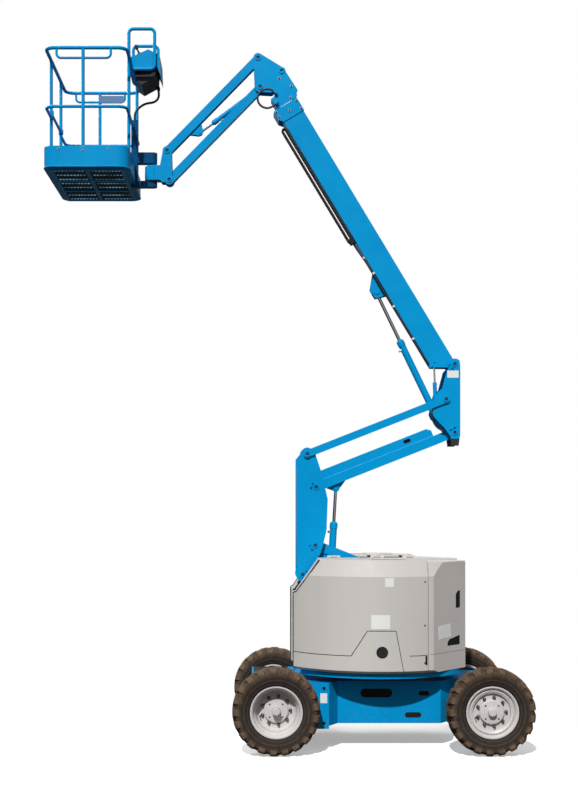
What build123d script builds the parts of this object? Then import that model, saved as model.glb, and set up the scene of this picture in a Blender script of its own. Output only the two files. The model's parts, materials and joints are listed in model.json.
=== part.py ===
from build123d import *
import os
from math import atan2, cos, hypot, radians, sin, tan

# Articulating boom lift. Millimetres, Z up, origin on the floor under the turntable axis.
# The platform end points to -X, the steering end to +X, and Y runs across the machine.

os.makedirs("parts", exist_ok=True)

# ---------------------------------------------------------------- clearances and stock
FIT = 0.1  # radial play of a turning pin in its bore
RUN = 0.3  # gap between curved faces that nearly touch
PIN = 20.0  # radius of the main linkage pins
HEAD = 27.0  # radius of a pin's head
HEAD_THICK = 7.0
DISH = 16.0  # radius and depth of the hollow in a pin's end
DISH_DEPTH = 14.0
HOSE = 9.0  # radius of a hydraulic hose
FERRULE = 13.0  # and of its crimped end

# ---------------------------------------------------------------- chassis and wheels
WHEEL_BASE = 1880.0
TRACK = 1586.0  # between the wheels' centre planes
WHEEL_RADIUS = 385.0  # to the lugs' tips
LUG_HEIGHT = 17.0
TYRE_WIDTH = 264.0
RIM_RADIUS = 210.0
RIM_FLANGE = 229.0
RIM_WALL = 10.0
HUB_RADIUS = 108.0
HUB_PROUD = 28.0  # hub plate beyond the wheel's disc
CAP_RADIUS = 35.0
STUD_CIRCLE = 127.0
STUDS = 9
KINGPIN_Y = 600.0
FRAME_HALF = 450.0
FRAME_BOTTOM = 222.0
FRAME_TOP = 604.0
AXLE_BAY = 465.0  # underside of the frame above the steered axle
FRAME_BACK = 1130.0
BOX_HALF = 600.0
BOX_BOTTOM = 195.0
STEER_HALF = 300.0
STEER_ARM = 170.0  # from a kingpin back to the tie rod's pin
PLATE = 12.0  # frame and boom side plates

# ---------------------------------------------------------------- turntable
RING_RADIUS = 345.0
DECK_BOTTOM = 660.0
DECK_TOP = 710.0
COVER_ARC = 930.0  # plan radius of the covers' outside
COVER_ARC_OFFSET = 110.0  # centre of that arc lies this far past the middle
COVER_FRONT = 155.0 - COVER_ARC
SEAM = 400.0  # where the covers meet the tail
TAIL_FLAT = 455.0  # where the arc gives way to the tail's flat sides
TAIL_BACK = COVER_ARC - 135.0
TAIL_SLOPE = 1.17  # of those sides, towards the middle
COVER_TOP = 1705.0
COVER_BEVEL = 145.0  # height of the bevel under the top
COVER_BEVEL_IN = 50.0
COVER_WALL = 12.0
TAIL_TOP = COVER_TOP - 25.0
RIM_BEVEL = 22.0  # at the covers' bottom edge
GROOVE_Z = 865.0  # moulded line around the covers
GROOVE_TOP = 1087.0
GROOVE_WIDTH = 7.0
GROOVE_DEPTH = 3.0
WELL_HALF = 205.0  # half width of the open well for the arms
TOWER_Y = 165.0  # inner face of the pivot plates
HINGE_Z = 1714.0
HINGE_Y = 193.0
HINGE_RADIUS = 9.0

# ---------------------------------------------------------------- secondary boom
ARM_LENGTH = 1376.0
ARM_ANGLE = radians(21.5)
PIVOT_LOWER = (714.0, 1311.0)  # lower arm on the turntable
LINK_DROP = (115.0, 271.0)  # lower arm's pins above and behind the lower link's
POST_RISE = 539.0  # upper arm's pin above the lower arm's, on the post
POST_SHIFT = 8.0
LINK_RISE = (-82.0, 306.0)  # upper link's pins from the upper arm's
RISER_RISE = 632.0  # primary boom's pivot above the upper arm's pin
SIDE_INNER = 138.0  # inner face of the post's and riser's plates
SIDE_OUTER = 150.0
ARM_HALF = 82.0
CHANNEL_HALF = 70.0
STRAP_INNER = 155.0  # the upper link's straps run outside the post and riser
STRAP_OUTER = 170.0
LINK_HALF_DEPTH = 33.0

# ---------------------------------------------------------------- primary boom and jib
BOOM_ANGLE = radians(121.05)
BOOM_HALF = 90.0
BOOM_BACK = -20.0  # depth across the boom, from its pivot, towards the underside
BOOM_UNDER = 190.0
BOOM_WALL = 6.0
BOOM_END = 2870.0
SLIDE_GAP = 6.0
TIP_HALF = 84.0
TIP_INNER = 72.0
MOUNT_OUTER = 64.0
MOUNT_INNER = 52.0
JIB_HALF = 42.0
LEVEL_PIVOT = (3159.0, -38.0)  # along and across the boom
JIB_VECTOR = (-845.0, -865.0)
JIB_TOP_SHIFT = (-220.19, 130.42)  # the jib's upper pins from the levelling pivot
JIB_LOW_SHIFT = (-200.19, -139.58)

# ---------------------------------------------------------------- platform
ROTATOR_REACH = 160.0  # from the jib's lower end pin
PLATFORM_LENGTH = 760.0
PLATFORM_HALF = 710.0
PLATFORM_CORNER = 100.0
FLOOR_DROP = 37.0  # the floor's underside below that pin
TOE_HEIGHT = 188.0  # heights above the floor's underside
MID_HEIGHT = 540.0
RAIL_HEIGHT = 1059.0
RAIL = 16.0  # radius of the rail tubes
MID_TUBE = 14.0
POST_TUBE = 15.0
GRIP = 11.0
POST_BACK = 405.0
REAR_POST_Y = 450.0
GATE_Y = 320.0
TOE_WALL = 6.0


def ahead(point, angle, along, across=0.0):
    """A point moved along a direction in the XZ plane, then across it to the left."""
    return (
        point[0] + along * cos(angle) - across * sin(angle),
        point[1] + along * sin(angle) + across * cos(angle),
    )


# Pins of the secondary boom, as X and Z.
POST_LOWER = ahead(PIVOT_LOWER, radians(180) - ARM_ANGLE, ARM_LENGTH)
PIVOT_LINK = (PIVOT_LOWER[0] - LINK_DROP[0], PIVOT_LOWER[1] - LINK_DROP[1])
POST_LINK = (POST_LOWER[0] - LINK_DROP[0], POST_LOWER[1] - LINK_DROP[1])
POST_UPPER = (POST_LOWER[0] + POST_SHIFT, POST_LOWER[1] + POST_RISE)
RISER_LOWER = ahead(POST_UPPER, ARM_ANGLE, ARM_LENGTH)
POST_TOP = (POST_UPPER[0] + LINK_RISE[0], POST_UPPER[1] + LINK_RISE[1])
RISER_LINK = (RISER_LOWER[0] + LINK_RISE[0], RISER_LOWER[1] + LINK_RISE[1])
BOOM_PIVOT = (RISER_LOWER[0], RISER_LOWER[1] + RISER_RISE)
LIFT_BASE = (RISER_LOWER[0] - 164.0, RISER_LOWER[1] + 179.0)

# Pins of the primary boom, as X and Z.
LIFT_EYE = ahead(BOOM_PIVOT, BOOM_ANGLE, 952.0, 258.0)
MASTER_EYE = ahead(BOOM_PIVOT, BOOM_ANGLE, 117.0, 140.0)
LEVEL = ahead(BOOM_PIVOT, BOOM_ANGLE, *LEVEL_PIVOT)
SLAVE = (LEVEL[0] - 102.0, LEVEL[1] - 151.0)
JIB_TOP = (LEVEL[0] + JIB_TOP_SHIFT[0], LEVEL[1] + JIB_TOP_SHIFT[1])
JIB_LOW = (LEVEL[0] + JIB_LOW_SHIFT[0], LEVEL[1] + JIB_LOW_SHIFT[1])
JIB_ANGLE = atan2(JIB_VECTOR[1], JIB_VECTOR[0])
JIB_LENGTH = hypot(*JIB_VECTOR)
END_TOP = (JIB_TOP[0] + JIB_VECTOR[0], JIB_TOP[1] + JIB_VECTOR[1])
END_LOW = (JIB_LOW[0] + JIB_VECTOR[0], JIB_LOW[1] + JIB_VECTOR[1])
JIB_EYE = ahead(JIB_TOP, JIB_ANGLE, 868.0, 92.0)

# The platform hangs from the jib's lower end pin.
ROTATOR_X = END_LOW[0] - ROTATOR_REACH
PLATFORM_BACK = ROTATOR_X - ROTATOR_REACH
POST_X = PLATFORM_BACK - POST_BACK
FLOOR_BOTTOM = END_LOW[1] - FLOOR_DROP
TOE_TOP = FLOOR_BOTTOM + TOE_HEIGHT
MID_RAIL = FLOOR_BOTTOM + MID_HEIGHT
TOP_RAIL = FLOOR_BOTTOM + RAIL_HEIGHT


def leaning(origin, angle):
    """A plane standing on edge: its X runs along the angle, its Y to the left of that."""
    return Plane(
        origin=(origin[0], 0, origin[1]),
        x_dir=(cos(angle), 0, sin(angle)),
        z_dir=(0, -1, 0),
    )


UPRIGHT = leaning((0, 0), 0)
BOOM = leaning(BOOM_PIVOT, BOOM_ANGLE)
UPPER_ARM = leaning(POST_UPPER, ARM_ANGLE)
LOWER_ARM = leaning(POST_LOWER, -ARM_ANGLE)
JIB_UPPER = leaning(JIB_TOP, JIB_ANGLE)
JIB_LOWER = leaning(JIB_LOW, JIB_ANGLE)


def plate(points, low, high, base=UPRIGHT, lobes=(), holes=(), mode=Mode.ADD):
    """Extrude an outline with round lobes and holes across the machine, from Y low to high."""
    with BuildSketch(base.offset(-low)) as face:
        if points:
            with BuildLine():
                Polyline(*points, close=True)
            make_face()
        for x, z, radius in lobes:
            with Locations((x, z)):
                Circle(radius)
        for x, z, radius in holes:
            with Locations((x, z)):
                Circle(radius, mode=Mode.SUBTRACT)
    extrude(face.sketch, amount=low - high, mode=mode)


def twin(points, inner, outer, base=UPRIGHT, lobes=(), holes=(), mode=Mode.ADD):
    """The same plate on both sides of the middle."""
    plate(points, inner, outer, base, lobes, holes, mode)
    plate(points, -outer, -inner, base, lobes, holes, mode)


def disc(point, radius, low, high, base=UPRIGHT, mode=Mode.ADD):
    """A round bar across the machine."""
    plate((), low, high, base, lobes=[(*point, radius)], mode=mode)


def box(x, y, z, mode=Mode.ADD):
    """A block given by its low and high X, Y and Z."""
    with Locations(((x[0] + x[1]) / 2, (y[0] + y[1]) / 2, (z[0] + z[1]) / 2)):
        Box(x[1] - x[0], y[1] - y[0], z[1] - z[0], mode=mode)


def run(points, radius, bend=0.0):
    """A round tube along straight runs, with its corners bent."""
    with BuildLine() as path:
        if bend:
            FilletPolyline(*points, radius=bend)
        else:
            Polyline(*points)
    with BuildSketch(path.line ^ 0) as ring:
        Circle(radius)
    sweep(ring.sketch, path=path.line)


def around(point, offsets):
    """Points given from another one."""
    return [(point[0] + x, point[1] + z) for x, z in offsets]


def on_boom(along, across, y):
    """A point given along and across the boom, and by its Y."""
    x, z = ahead(BOOM_PIVOT, BOOM_ANGLE, along, across)
    return (x, y, z)


def head(point, reach, base=UPRIGHT):
    """The dished heads of a pin, beyond the plates that end at the given reach."""
    twin((), reach, reach + HEAD_THICK, base, lobes=[(*point, HEAD)])
    twin((), reach + HEAD_THICK - DISH_DEPTH, reach + HEAD_THICK, base, lobes=[(*point, DISH)],
         mode=Mode.SUBTRACT)


def bends(points):
    """The bend at each inner point of a hose, as wide as its shorter run allows."""
    radii = []
    for before, here, after in zip(points, points[1:], points[2:]):
        first = Vector(*here) - Vector(*before)
        second = Vector(*after) - Vector(*here)
        turn = radians(first.get_angle(second))
        radii.append(0.45 * min(first.length, second.length) / tan(turn / 2))
    return radii


def hose(points, radius):
    """A hose along a gently bent route."""
    radii = bends(points)
    print("hose bends", [round(value) for value in radii])
    with BuildLine() as path:
        FilletPolyline(*points, radius=radii)
    with BuildSketch(path.line ^ 0) as ring:
        Circle(radius)
    sweep(ring.sketch, path=path.line)


def ferrule(points, length, radius=FERRULE):
    """The crimped end that a hose begins in, back from its first point."""
    back = (Vector(*points[0]) - Vector(*points[1])).normalized() * length
    bar(points[0], tuple(Vector(*points[0]) + back), radius)


def bar(start, end, radius):
    """A straight round bar between two points."""
    middle = Vector(*end) - Vector(*start)
    with BuildSketch(Plane(origin=start, z_dir=middle)) as ring:
        Circle(radius)
    extrude(ring.sketch, amount=middle.length)


# ================================================================ chassis
FRONT_X = -WHEEL_BASE / 2
STEER_X = WHEEL_BASE / 2
DRIVE_FACE = -42.0  # outer face of a driven wheel's disc, from the wheel's centre plane
STEER_FACE = 48.0

with BuildPart() as chassis_frame:
    with BuildSketch(Plane.XY.offset(FRAME_BOTTOM)) as belly:
        with BuildLine():
            Polyline(
                (-1150, -BOX_HALF), (-465, -BOX_HALF), (-380, -FRAME_HALF), (550, -FRAME_HALF),
                (660, -STEER_HALF), (FRAME_BACK, -STEER_HALF), (FRAME_BACK, STEER_HALF), (660, STEER_HALF),
                (550, FRAME_HALF), (-380, FRAME_HALF), (-465, BOX_HALF), (-1150, BOX_HALF),
                close=True,
            )
        make_face()
    extrude(belly.sketch, amount=FRAME_TOP - FRAME_BOTTOM)
    box((-1150, -465), (-BOX_HALF, BOX_HALF), (BOX_BOTTOM, FRAME_BOTTOM))
    # the steering end is shallower, and open below for the axle
    box((660, FRAME_BACK), (-STEER_HALF, STEER_HALF), (FRAME_BOTTOM, AXLE_BAY), mode=Mode.SUBTRACT)
    chamfer(chassis_frame.edges().filter_by(Axis.Z).group_by(Axis.X)[-1], length=60)
    # slots through the side plates
    for x, z, long, high in ((-30, 494, 287, 80), (398, 491, 98, 41), (301, 296, 147, 49)):
        for side in (-1, 1):
            with BuildSketch(UPRIGHT.offset(-side * FRAME_HALF)) as slot:
                with Locations((x, z)):
                    SlotOverall(long, high)
            extrude(slot.sketch, amount=40, both=True, mode=Mode.SUBTRACT)
chassis_frame.part.label = "chassis_frame"
export_step(chassis_frame.part, "parts/chassis_frame.step")

with BuildPart() as drive_hubs:
    for side in (-1, 1):
        plate(
            (), *sorted((side * BOX_HALF, side * (TRACK / 2 + DRIVE_FACE - RIM_WALL - RUN))),
            lobes=[(FRONT_X, WHEEL_RADIUS, HUB_RADIUS)],
        )
drive_hubs.part.label = "drive_hubs"
export_step(drive_hubs.part, "parts/drive_hubs.step")

YOKE = 26.0  # thickness of the yoke's ears
EAR = 95.0  # from the beam's end to the kingpin
KNUCKLE_LOW = WHEEL_RADIUS - 72
KNUCKLE_HIGH = WHEEL_RADIUS + 72
TIE_X = STEER_X - STEER_ARM

with BuildPart() as steer_axle:
    box((STEER_X - 60, STEER_X + 60), (-KINGPIN_Y + EAR, KINGPIN_Y - EAR),
        (KNUCKLE_LOW - YOKE, KNUCKLE_HIGH + 8))
    for side in (-1, 1):
        for low in (KNUCKLE_LOW - YOKE, KNUCKLE_HIGH):
            with BuildSketch(Plane.XY.offset(low)) as ear:
                with Locations((STEER_X, side * KINGPIN_Y)):
                    Circle(52)
                with Locations((STEER_X, side * (KINGPIN_Y - EAR / 2 - 5))):
                    Rectangle(104, EAR + 10)
            extrude(ear.sketch, amount=YOKE)
        with Locations((STEER_X, side * KINGPIN_Y, WHEEL_RADIUS)):
            Cylinder(18, KNUCKLE_HIGH - KNUCKLE_LOW + 2 * YOKE + 12)
steer_axle.part.label = "steer_axle"
export_step(steer_axle.part, "parts/steer_axle.step")

for name, side in (("near", -1), ("far", 1)):
    with BuildPart() as knuckle:
        with Locations((STEER_X, side * KINGPIN_Y, WHEEL_RADIUS)):
            Cylinder(48, KNUCKLE_HIGH - KNUCKLE_LOW - 2 * RUN)
        plate(
            (), *sorted((side * (KINGPIN_Y + 20), side * (TRACK / 2 + STEER_FACE - RIM_WALL - RUN))),
            lobes=[(STEER_X, WHEEL_RADIUS, 62)],
        )
        plate(
            (), *sorted((side * (TRACK / 2 - 20), side * (TRACK / 2 + STEER_FACE - RIM_WALL - RUN))),
            lobes=[(STEER_X, WHEEL_RADIUS, HUB_RADIUS)],
        )
        # steering arm, back towards the frame
        with BuildSketch(Plane.XY.offset(WHEEL_RADIUS - 20)) as arm:
            with BuildLine():
                Polyline(
                    (STEER_X - 20, side * (KINGPIN_Y + 40)), (STEER_X - 20, side * (KINGPIN_Y - 40)),
                    (TIE_X, side * (KINGPIN_Y - 22)), (TIE_X, side * (KINGPIN_Y + 22)), close=True,
                )
            make_face()
            with Locations((TIE_X, side * KINGPIN_Y)):
                Circle(22)
        extrude(arm.sketch, amount=24)
        with Locations((STEER_X, side * KINGPIN_Y, WHEEL_RADIUS)):
            Cylinder(18 + FIT, 400, mode=Mode.SUBTRACT)
        with Locations((TIE_X, side * KINGPIN_Y, WHEEL_RADIUS)):
            Cylinder(10 + FIT, 100, mode=Mode.SUBTRACT)
    knuckle.part.label = "knuckle_" + name
    export_step(knuckle.part, "parts/knuckle_" + name + ".step")

with BuildPart() as tie_rod:
    bar((TIE_X, -KINGPIN_Y, WHEEL_RADIUS + 20), (TIE_X, KINGPIN_Y, WHEEL_RADIUS + 20), 14)
    for side in (-1, 1):
        with Locations((TIE_X, side * KINGPIN_Y, WHEEL_RADIUS + 20)):
            Cylinder(22, 30)
        with Locations((TIE_X, side * KINGPIN_Y, WHEEL_RADIUS - 5)):
            Cylinder(10, 50)
tie_rod.part.label = "tie_rod"
export_step(tie_rod.part, "parts/tie_rod.step")

# Sections of the two kinds of dish, out to the rim along the front and back along the rear.
# Columns: radius, depth beyond the disc's face.
DRIVE_DISH = ((158, 0), (174, 20), (188, 86), (206, 104), (206, 86), (197, 82), (184, 18), (164, -RIM_WALL))
STEER_DISH = ((160, 0), (165, 24), (186, 36), (206, 22), (206, 12), (186, 25), (175, 18), (170, -RIM_WALL))
# Wheels: name, X, side, face of the disc, dish, length of the centre cap.
WHEELS = (
    ("drive_near", FRONT_X, -1, DRIVE_FACE, DRIVE_DISH, 78),
    ("drive_far", FRONT_X, 1, DRIVE_FACE, DRIVE_DISH, 78),
    ("steer_near", STEER_X, -1, STEER_FACE, STEER_DISH, 45),
    ("steer_far", STEER_X, 1, STEER_FACE, STEER_DISH, 45),
)
LUGS = 21  # in each row
CARCASS = WHEEL_RADIUS - LUG_HEIGHT
LUG_TOP = (WHEEL_RADIUS**2 - 28**2) ** 0.5  # flat tops whose corners reach the wheel's radius
LUG_SEAT = 338.0
for name, x, side, disc_face, dish, cap in WHEELS:
    centre = (x, side * TRACK / 2, WHEEL_RADIUS)
    section = Plane(origin=centre, x_dir=(1, 0, 0), z_dir=(0, 0, side))
    axle = Axis(centre, (0, 1, 0))
    with BuildPart() as tyre:
        with BuildSketch(section) as profile:
            with BuildLine():
                Polyline(
                    (RIM_RADIUS, -95), (RIM_FLANGE + 3, -95), (RIM_FLANGE + 9, -112),
                    (300, -TYRE_WIDTH / 2),
                    (344, -120), (CARCASS, -88), (CARCASS, 88), (344, 120), (300, TYRE_WIDTH / 2),
                    (RIM_FLANGE + 9, 112), (RIM_FLANGE + 3, 95), (RIM_RADIUS, 95),
                    close=True,
                )
            make_face()
        revolve(profile.sketch, axis=axle)
        # lugs, slanting from the shoulders past the middle in two staggered rows
        for row in (-1, 1):
            seats = []
            for index in range(LUGS):
                turn = radians(360 * (index + (row + 1) / 4) / LUGS)
                spoke = Vector(cos(turn), 0, sin(turn))
                seats.append(
                    Plane(origin=Vector(*centre) + spoke * LUG_SEAT, x_dir=(0, 1, 0), z_dir=spoke)
                )
            with BuildSketch(*seats) as lugs:
                with BuildLine():
                    Polyline(
                        (row * -12, -14), (row * 6, 20), (row * 92, 28), (row * 126, 28), (row * 126, -24),
                        (row * 88, -26), close=True,
                    )
                make_face()
            extrude(lugs.sketch, amount=LUG_TOP - LUG_SEAT)
    tyre.part.label = "tyre_" + name
    export_step(tyre.part, "parts/tyre_" + name + ".step")

    with BuildPart() as rim:
        with BuildSketch(section) as profile:
            with BuildLine():
                Polyline(
                    (RIM_FLANGE, -108), (RIM_FLANGE, -95), (RIM_RADIUS, -95), (RIM_RADIUS, 95),
                    (RIM_FLANGE, 95), (RIM_FLANGE, 108), (217, 108), (206, 97), (200, 82),
                    (200, -82), (206, -97), (217, -108), close=True,
                )
            make_face()
            with BuildLine():
                Polyline(
                    (0, disc_face), *[(radius, disc_face + depth) for radius, depth in dish],
                    (0, disc_face - RIM_WALL), close=True,
                )
            make_face()
            # hub plate and centre cap
            with BuildLine():
                Polyline(
                    (0, disc_face - 1), (HUB_RADIUS, disc_face - 1),
                    (HUB_RADIUS, disc_face + HUB_PROUD - 6),
                    (HUB_RADIUS - 8, disc_face + HUB_PROUD), (CAP_RADIUS + 3, disc_face + HUB_PROUD + 4),
                    (CAP_RADIUS, disc_face + HUB_PROUD + cap - 6),
                    (CAP_RADIUS - 6, disc_face + HUB_PROUD + cap),
                    (0, disc_face + HUB_PROUD + cap), close=True,
                )
            make_face()
        revolve(profile.sketch, axis=axle)
        studs = Plane(origin=centre, x_dir=(1, 0, 0), z_dir=(0, side, 0)).offset(disc_face)
        with BuildSketch(studs) as nuts:
            with PolarLocations(STUD_CIRCLE, STUDS):
                RegularPolygon(11, 6)
        extrude(nuts.sketch, amount=16)
    rim.part.label = "rim_" + name
    export_step(rim.part, "parts/rim_" + name + ".step")

with BuildPart() as slew_ring:
    with Locations((0, 0, (FRAME_TOP + DECK_BOTTOM - RUN) / 2)):
        Cylinder(RING_RADIUS, DECK_BOTTOM - RUN - FRAME_TOP)
slew_ring.part.label = "slew_ring"
export_step(slew_ring.part, "parts/slew_ring.step")


# ================================================================ turntable
def cover_edge(x, inset=0.0):
    """Distance from the middle to the covers' outside at a given X."""
    return ((COVER_ARC - inset) ** 2 - x**2) ** 0.5 - COVER_ARC_OFFSET


def lobe(x_low, x_high, inner, side, level, inset=0.0):
    """Plan outline of one side of the turntable at a height, between two values of X."""
    ends = [(x, side * cover_edge(x, inset)) for x in (x_low, (x_low + x_high) / 2, x_high)]
    with BuildSketch(Plane.XY.offset(level)) as face:
        with BuildLine():
            ThreePointArc(*ends)
            Polyline(ends[2], (x_high, side * inner), (x_low, side * inner), ends[0])
        make_face()
    return face.sketch


def tail_flat(side, level, inset=0.0):
    """Plan outline of what the flat beside the tail takes off."""
    start = (TAIL_FLAT, cover_edge(TAIL_FLAT) - inset)
    end = (TAIL_BACK + 60, start[1] - TAIL_SLOPE * (TAIL_BACK + 60 - TAIL_FLAT))
    with BuildSketch(Plane.XY.offset(level)) as face:
        with BuildLine():
            Polyline(
                *[(x, side * y) for x, y in (start, end, (end[0], COVER_ARC), (start[0], COVER_ARC))],
                close=True,
            )
        make_face()
    return face.sketch


with BuildPart() as deck:
    for side in (-1, 1):
        extrude(lobe(COVER_FRONT + 75, TAIL_BACK - 55, 0, side, DECK_BOTTOM, 60),
                amount=DECK_TOP - DECK_BOTTOM)
deck.part.label = "deck"
export_step(deck.part, "parts/deck.step")

with BuildPart() as pivot_tower:
    twin(
        [(-560, DECK_TOP), (760, DECK_TOP), (768, 1311), (740, 1362), (660, 1362), (420, 1000),
         (-480, 860), (-560, 800)],
        TOWER_Y, TOWER_Y + 14,
        lobes=[(*PIVOT_LOWER, 55)],
    )
    twin((), 86, TOWER_Y, lobes=[(*PIVOT_LOWER, 42)])
    twin((), 66, TOWER_Y, lobes=[(*PIVOT_LINK, 36)])
    disc(PIVOT_LOWER, PIN, -TOWER_Y - 20, TOWER_Y + 20)
    disc(PIVOT_LINK, PIN, -TOWER_Y - 20, TOWER_Y + 20)
pivot_tower.part.label = "pivot_tower"
export_step(pivot_tower.part, "parts/pivot_tower.step")

with BuildPart() as bulkheads:
    for side in (-1, 1):
        plate(
            [(-700, DECK_TOP), (SEAM - 20, DECK_TOP), (SEAM - 20, 1660), (-520, 1660), (-700, 1400)],
            *sorted((side * (TOWER_Y + 14), side * (TOWER_Y + 20))),
        )
        for x in (-400, 0, 300):
            box((x - 30, x + 30), sorted((side * (TOWER_Y + 14), side * (TOWER_Y + 20))), (1650, HINGE_Z))
            bar((x - 30, side * HINGE_Y, HINGE_Z), (x + 30, side * HINGE_Y, HINGE_Z), HINGE_RADIUS)
bulkheads.part.label = "bulkheads"
export_step(bulkheads.part, "parts/bulkheads.step")

# Openings in the tail's flat sides, as X and Z.
TAIL_SLOT = ((690, 1258), (736, 1258), (736, 1418), (708, 1410), (690, 1385))
AIR_SLOT = ((600, 925), (733, 925), (733, 1012), (622, 985), (602, 960))
tail_bevel = TAIL_TOP - COVER_TOP + COVER_BEVEL

with BuildPart() as tail_core:
    for side in (-1, 1):
        extrude(lobe(SEAM, TAIL_BACK, WELL_HALF, side, GROOVE_Z, GROOVE_DEPTH), amount=GROOVE_WIDTH)
        extrude(tail_flat(side, GROOVE_Z, 1.5 * GROOVE_DEPTH), amount=GROOVE_WIDTH, mode=Mode.SUBTRACT)
with BuildPart() as tail_line:
    for side in (-1, 1):
        extrude(lobe(SEAM + 4, TAIL_BACK, WELL_HALF, side, GROOVE_Z), amount=GROOVE_WIDTH)
    add(tail_core.part, mode=Mode.SUBTRACT)

with BuildPart() as counterweight:
    for side in (-1, 1):
        extrude(lobe(SEAM + 4, TAIL_BACK, TOWER_Y + 20, side, DECK_TOP), amount=TAIL_TOP - DECK_TOP)
    for skin in counterweight.faces().filter_by(GeomType.CYLINDER):
        brim = skin.edges().filter_by(GeomType.CIRCLE).sort_by(Axis.Z)[-1]
        chamfer(brim, length=tail_bevel, length2=COVER_BEVEL_IN * tail_bevel / COVER_BEVEL, reference=skin)
    chamfer(counterweight.edges().filter_by(GeomType.CIRCLE).group_by(Axis.Z)[0], length=RIM_BEVEL)
    for side in (-1, 1):
        extrude(tail_flat(side, DECK_TOP), amount=COVER_TOP - DECK_TOP, mode=Mode.SUBTRACT)
        for points in (TAIL_SLOT, AIR_SLOT):
            plate(points, *sorted((side * 300, side * COVER_ARC)), mode=Mode.SUBTRACT)
    add(tail_line.part, mode=Mode.SUBTRACT)
    box((TAIL_BACK - 12, TAIL_BACK), (-TOWER_Y - 25, TOWER_Y + 25), (DECK_TOP, 1150))
counterweight.part.label = "counterweight"
export_step(counterweight.part, "parts/counterweight.step")

with BuildPart() as engine_block:
    box((-450, 300), (280, 600), (DECK_TOP, 1300))
engine_block.part.label = "engine_block"
export_step(engine_block.part, "parts/engine_block.step")

# Moulded lines on the covers, as X and Z.
COVER_LINES = (
    ((COVER_FRONT - 50, GROOVE_Z), (-281, GROOVE_Z), (-141, GROOVE_TOP), (110, GROOVE_TOP),
     (180, DECK_TOP)),
    ((230, GROOVE_Z), (SEAM + 50, GROOVE_Z)),
)
for name, side in (("near", -1), ("far", 1)):
    with BuildPart() as lines:
        for points in COVER_LINES:
            with BuildSketch(UPRIGHT) as mark:
                with BuildLine():
                    Polyline(*points)
                trace(line_width=GROOVE_WIDTH)
            extrude(mark.sketch, amount=-side * COVER_ARC)
        extrude(
            lobe(COVER_FRONT - 60, SEAM + 60, 0, side, DECK_TOP - 20, GROOVE_DEPTH), amount=COVER_TOP,
            mode=Mode.SUBTRACT,
        )
    with BuildPart() as cover:
        extrude(lobe(COVER_FRONT, SEAM, WELL_HALF + 2, side, DECK_TOP + RUN),
                amount=COVER_TOP - DECK_TOP - RUN)
        skin = cover.faces().filter_by(GeomType.CYLINDER)[0]
        brim = cover.edges().filter_by(GeomType.CIRCLE).group_by(Axis.Z)[-1]
        chamfer(brim, length=COVER_BEVEL, length2=COVER_BEVEL_IN, reference=skin)
        chamfer(cover.edges().filter_by(GeomType.CIRCLE).group_by(Axis.Z)[0], length=RIM_BEVEL)
        # the front leans back above the arms' pivot post
        plate(
            [(COVER_FRONT + 229, COVER_TOP + 1), (COVER_FRONT + 19, 1402), (COVER_FRONT - 100, 1402),
             (COVER_FRONT - 100, COVER_TOP + 1)],
            *sorted((side * 100, side * COVER_ARC)), mode=Mode.SUBTRACT,
        )
        mouth = cover.faces().sort_by(Axis.Z)[0]
        inner = cover.faces().filter_by(Axis.Y).sort_by(SortBy.AREA)[-1]
        offset(amount=-COVER_WALL, openings=[mouth, inner])
        add(lines.part, mode=Mode.SUBTRACT)
        for x in (-445, -355, -45, 45, 255, 345):
            low, high = (x - 14, x + 14)
            bar((low, side * HINGE_Y, HINGE_Z), (high, side * HINGE_Y, HINGE_Z), HINGE_RADIUS)
            box((low, high), sorted((side * HINGE_Y, side * (WELL_HALF + 20))),
                (COVER_TOP - 1, HINGE_Z - 3))
    cover.part.label = "cover_" + name
    export_step(cover.part, "parts/cover_" + name + ".step")


# ================================================================ secondary boom
def arm_body(base, flip):
    """One arm of the secondary boom, with its channel on the side given by flip."""
    upper = flip * 125
    middle = flip * 40
    lower = -flip * 45
    plate([(0, middle), (0, lower), (1190, lower), (ARM_LENGTH, -flip * 40),
          (ARM_LENGTH, flip * 40), (1190, middle)],
          -ARM_HALF, ARM_HALF, base)
    plate([(30, middle), (60, upper), (1150, upper), (1190, flip * 95), (1190, middle)],
          -CHANNEL_HALF, CHANNEL_HALF, base)
    disc((0, 0), 50, -SIDE_INNER + 1, SIDE_INNER - 1, base)
    disc((ARM_LENGTH, 0), 45, -ARM_HALF, ARM_HALF, base)


BRACKET = (172.0, -83.0)  # secondary cylinder's rod pin, along and across the upper arm
TRUNNION = (188.0, -35.0)  # and its barrel's pin on the lower arm
BAY = (TRUNNION[0] - 144, TRUNNION[0] + 124)  # the cylinder swings here between the arm's walls
ROD_PIN = ahead(POST_UPPER, ARM_ANGLE, *BRACKET)
BASE_PIN = ahead(POST_LOWER, -ARM_ANGLE, *TRUNNION)

with BuildPart() as lower_arm:
    arm_body(LOWER_ARM, -1)
    # slot for the cylinder, which hangs on stub pins inside the arm
    plate([(BAY[0], -140), (BAY[1], -140), (BAY[1], 60), (BAY[0], 60)], -46, 46, LOWER_ARM,
          mode=Mode.SUBTRACT)
    twin((), 27, 46, LOWER_ARM, lobes=[(*TRUNNION, 15)])
    disc((0, 0), PIN + FIT, -200, 200, LOWER_ARM, mode=Mode.SUBTRACT)
    disc((ARM_LENGTH, 0), PIN + FIT, -200, 200, LOWER_ARM, mode=Mode.SUBTRACT)
lower_arm.part.label = "lower_arm"
export_step(lower_arm.part, "parts/lower_arm.step")

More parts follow.
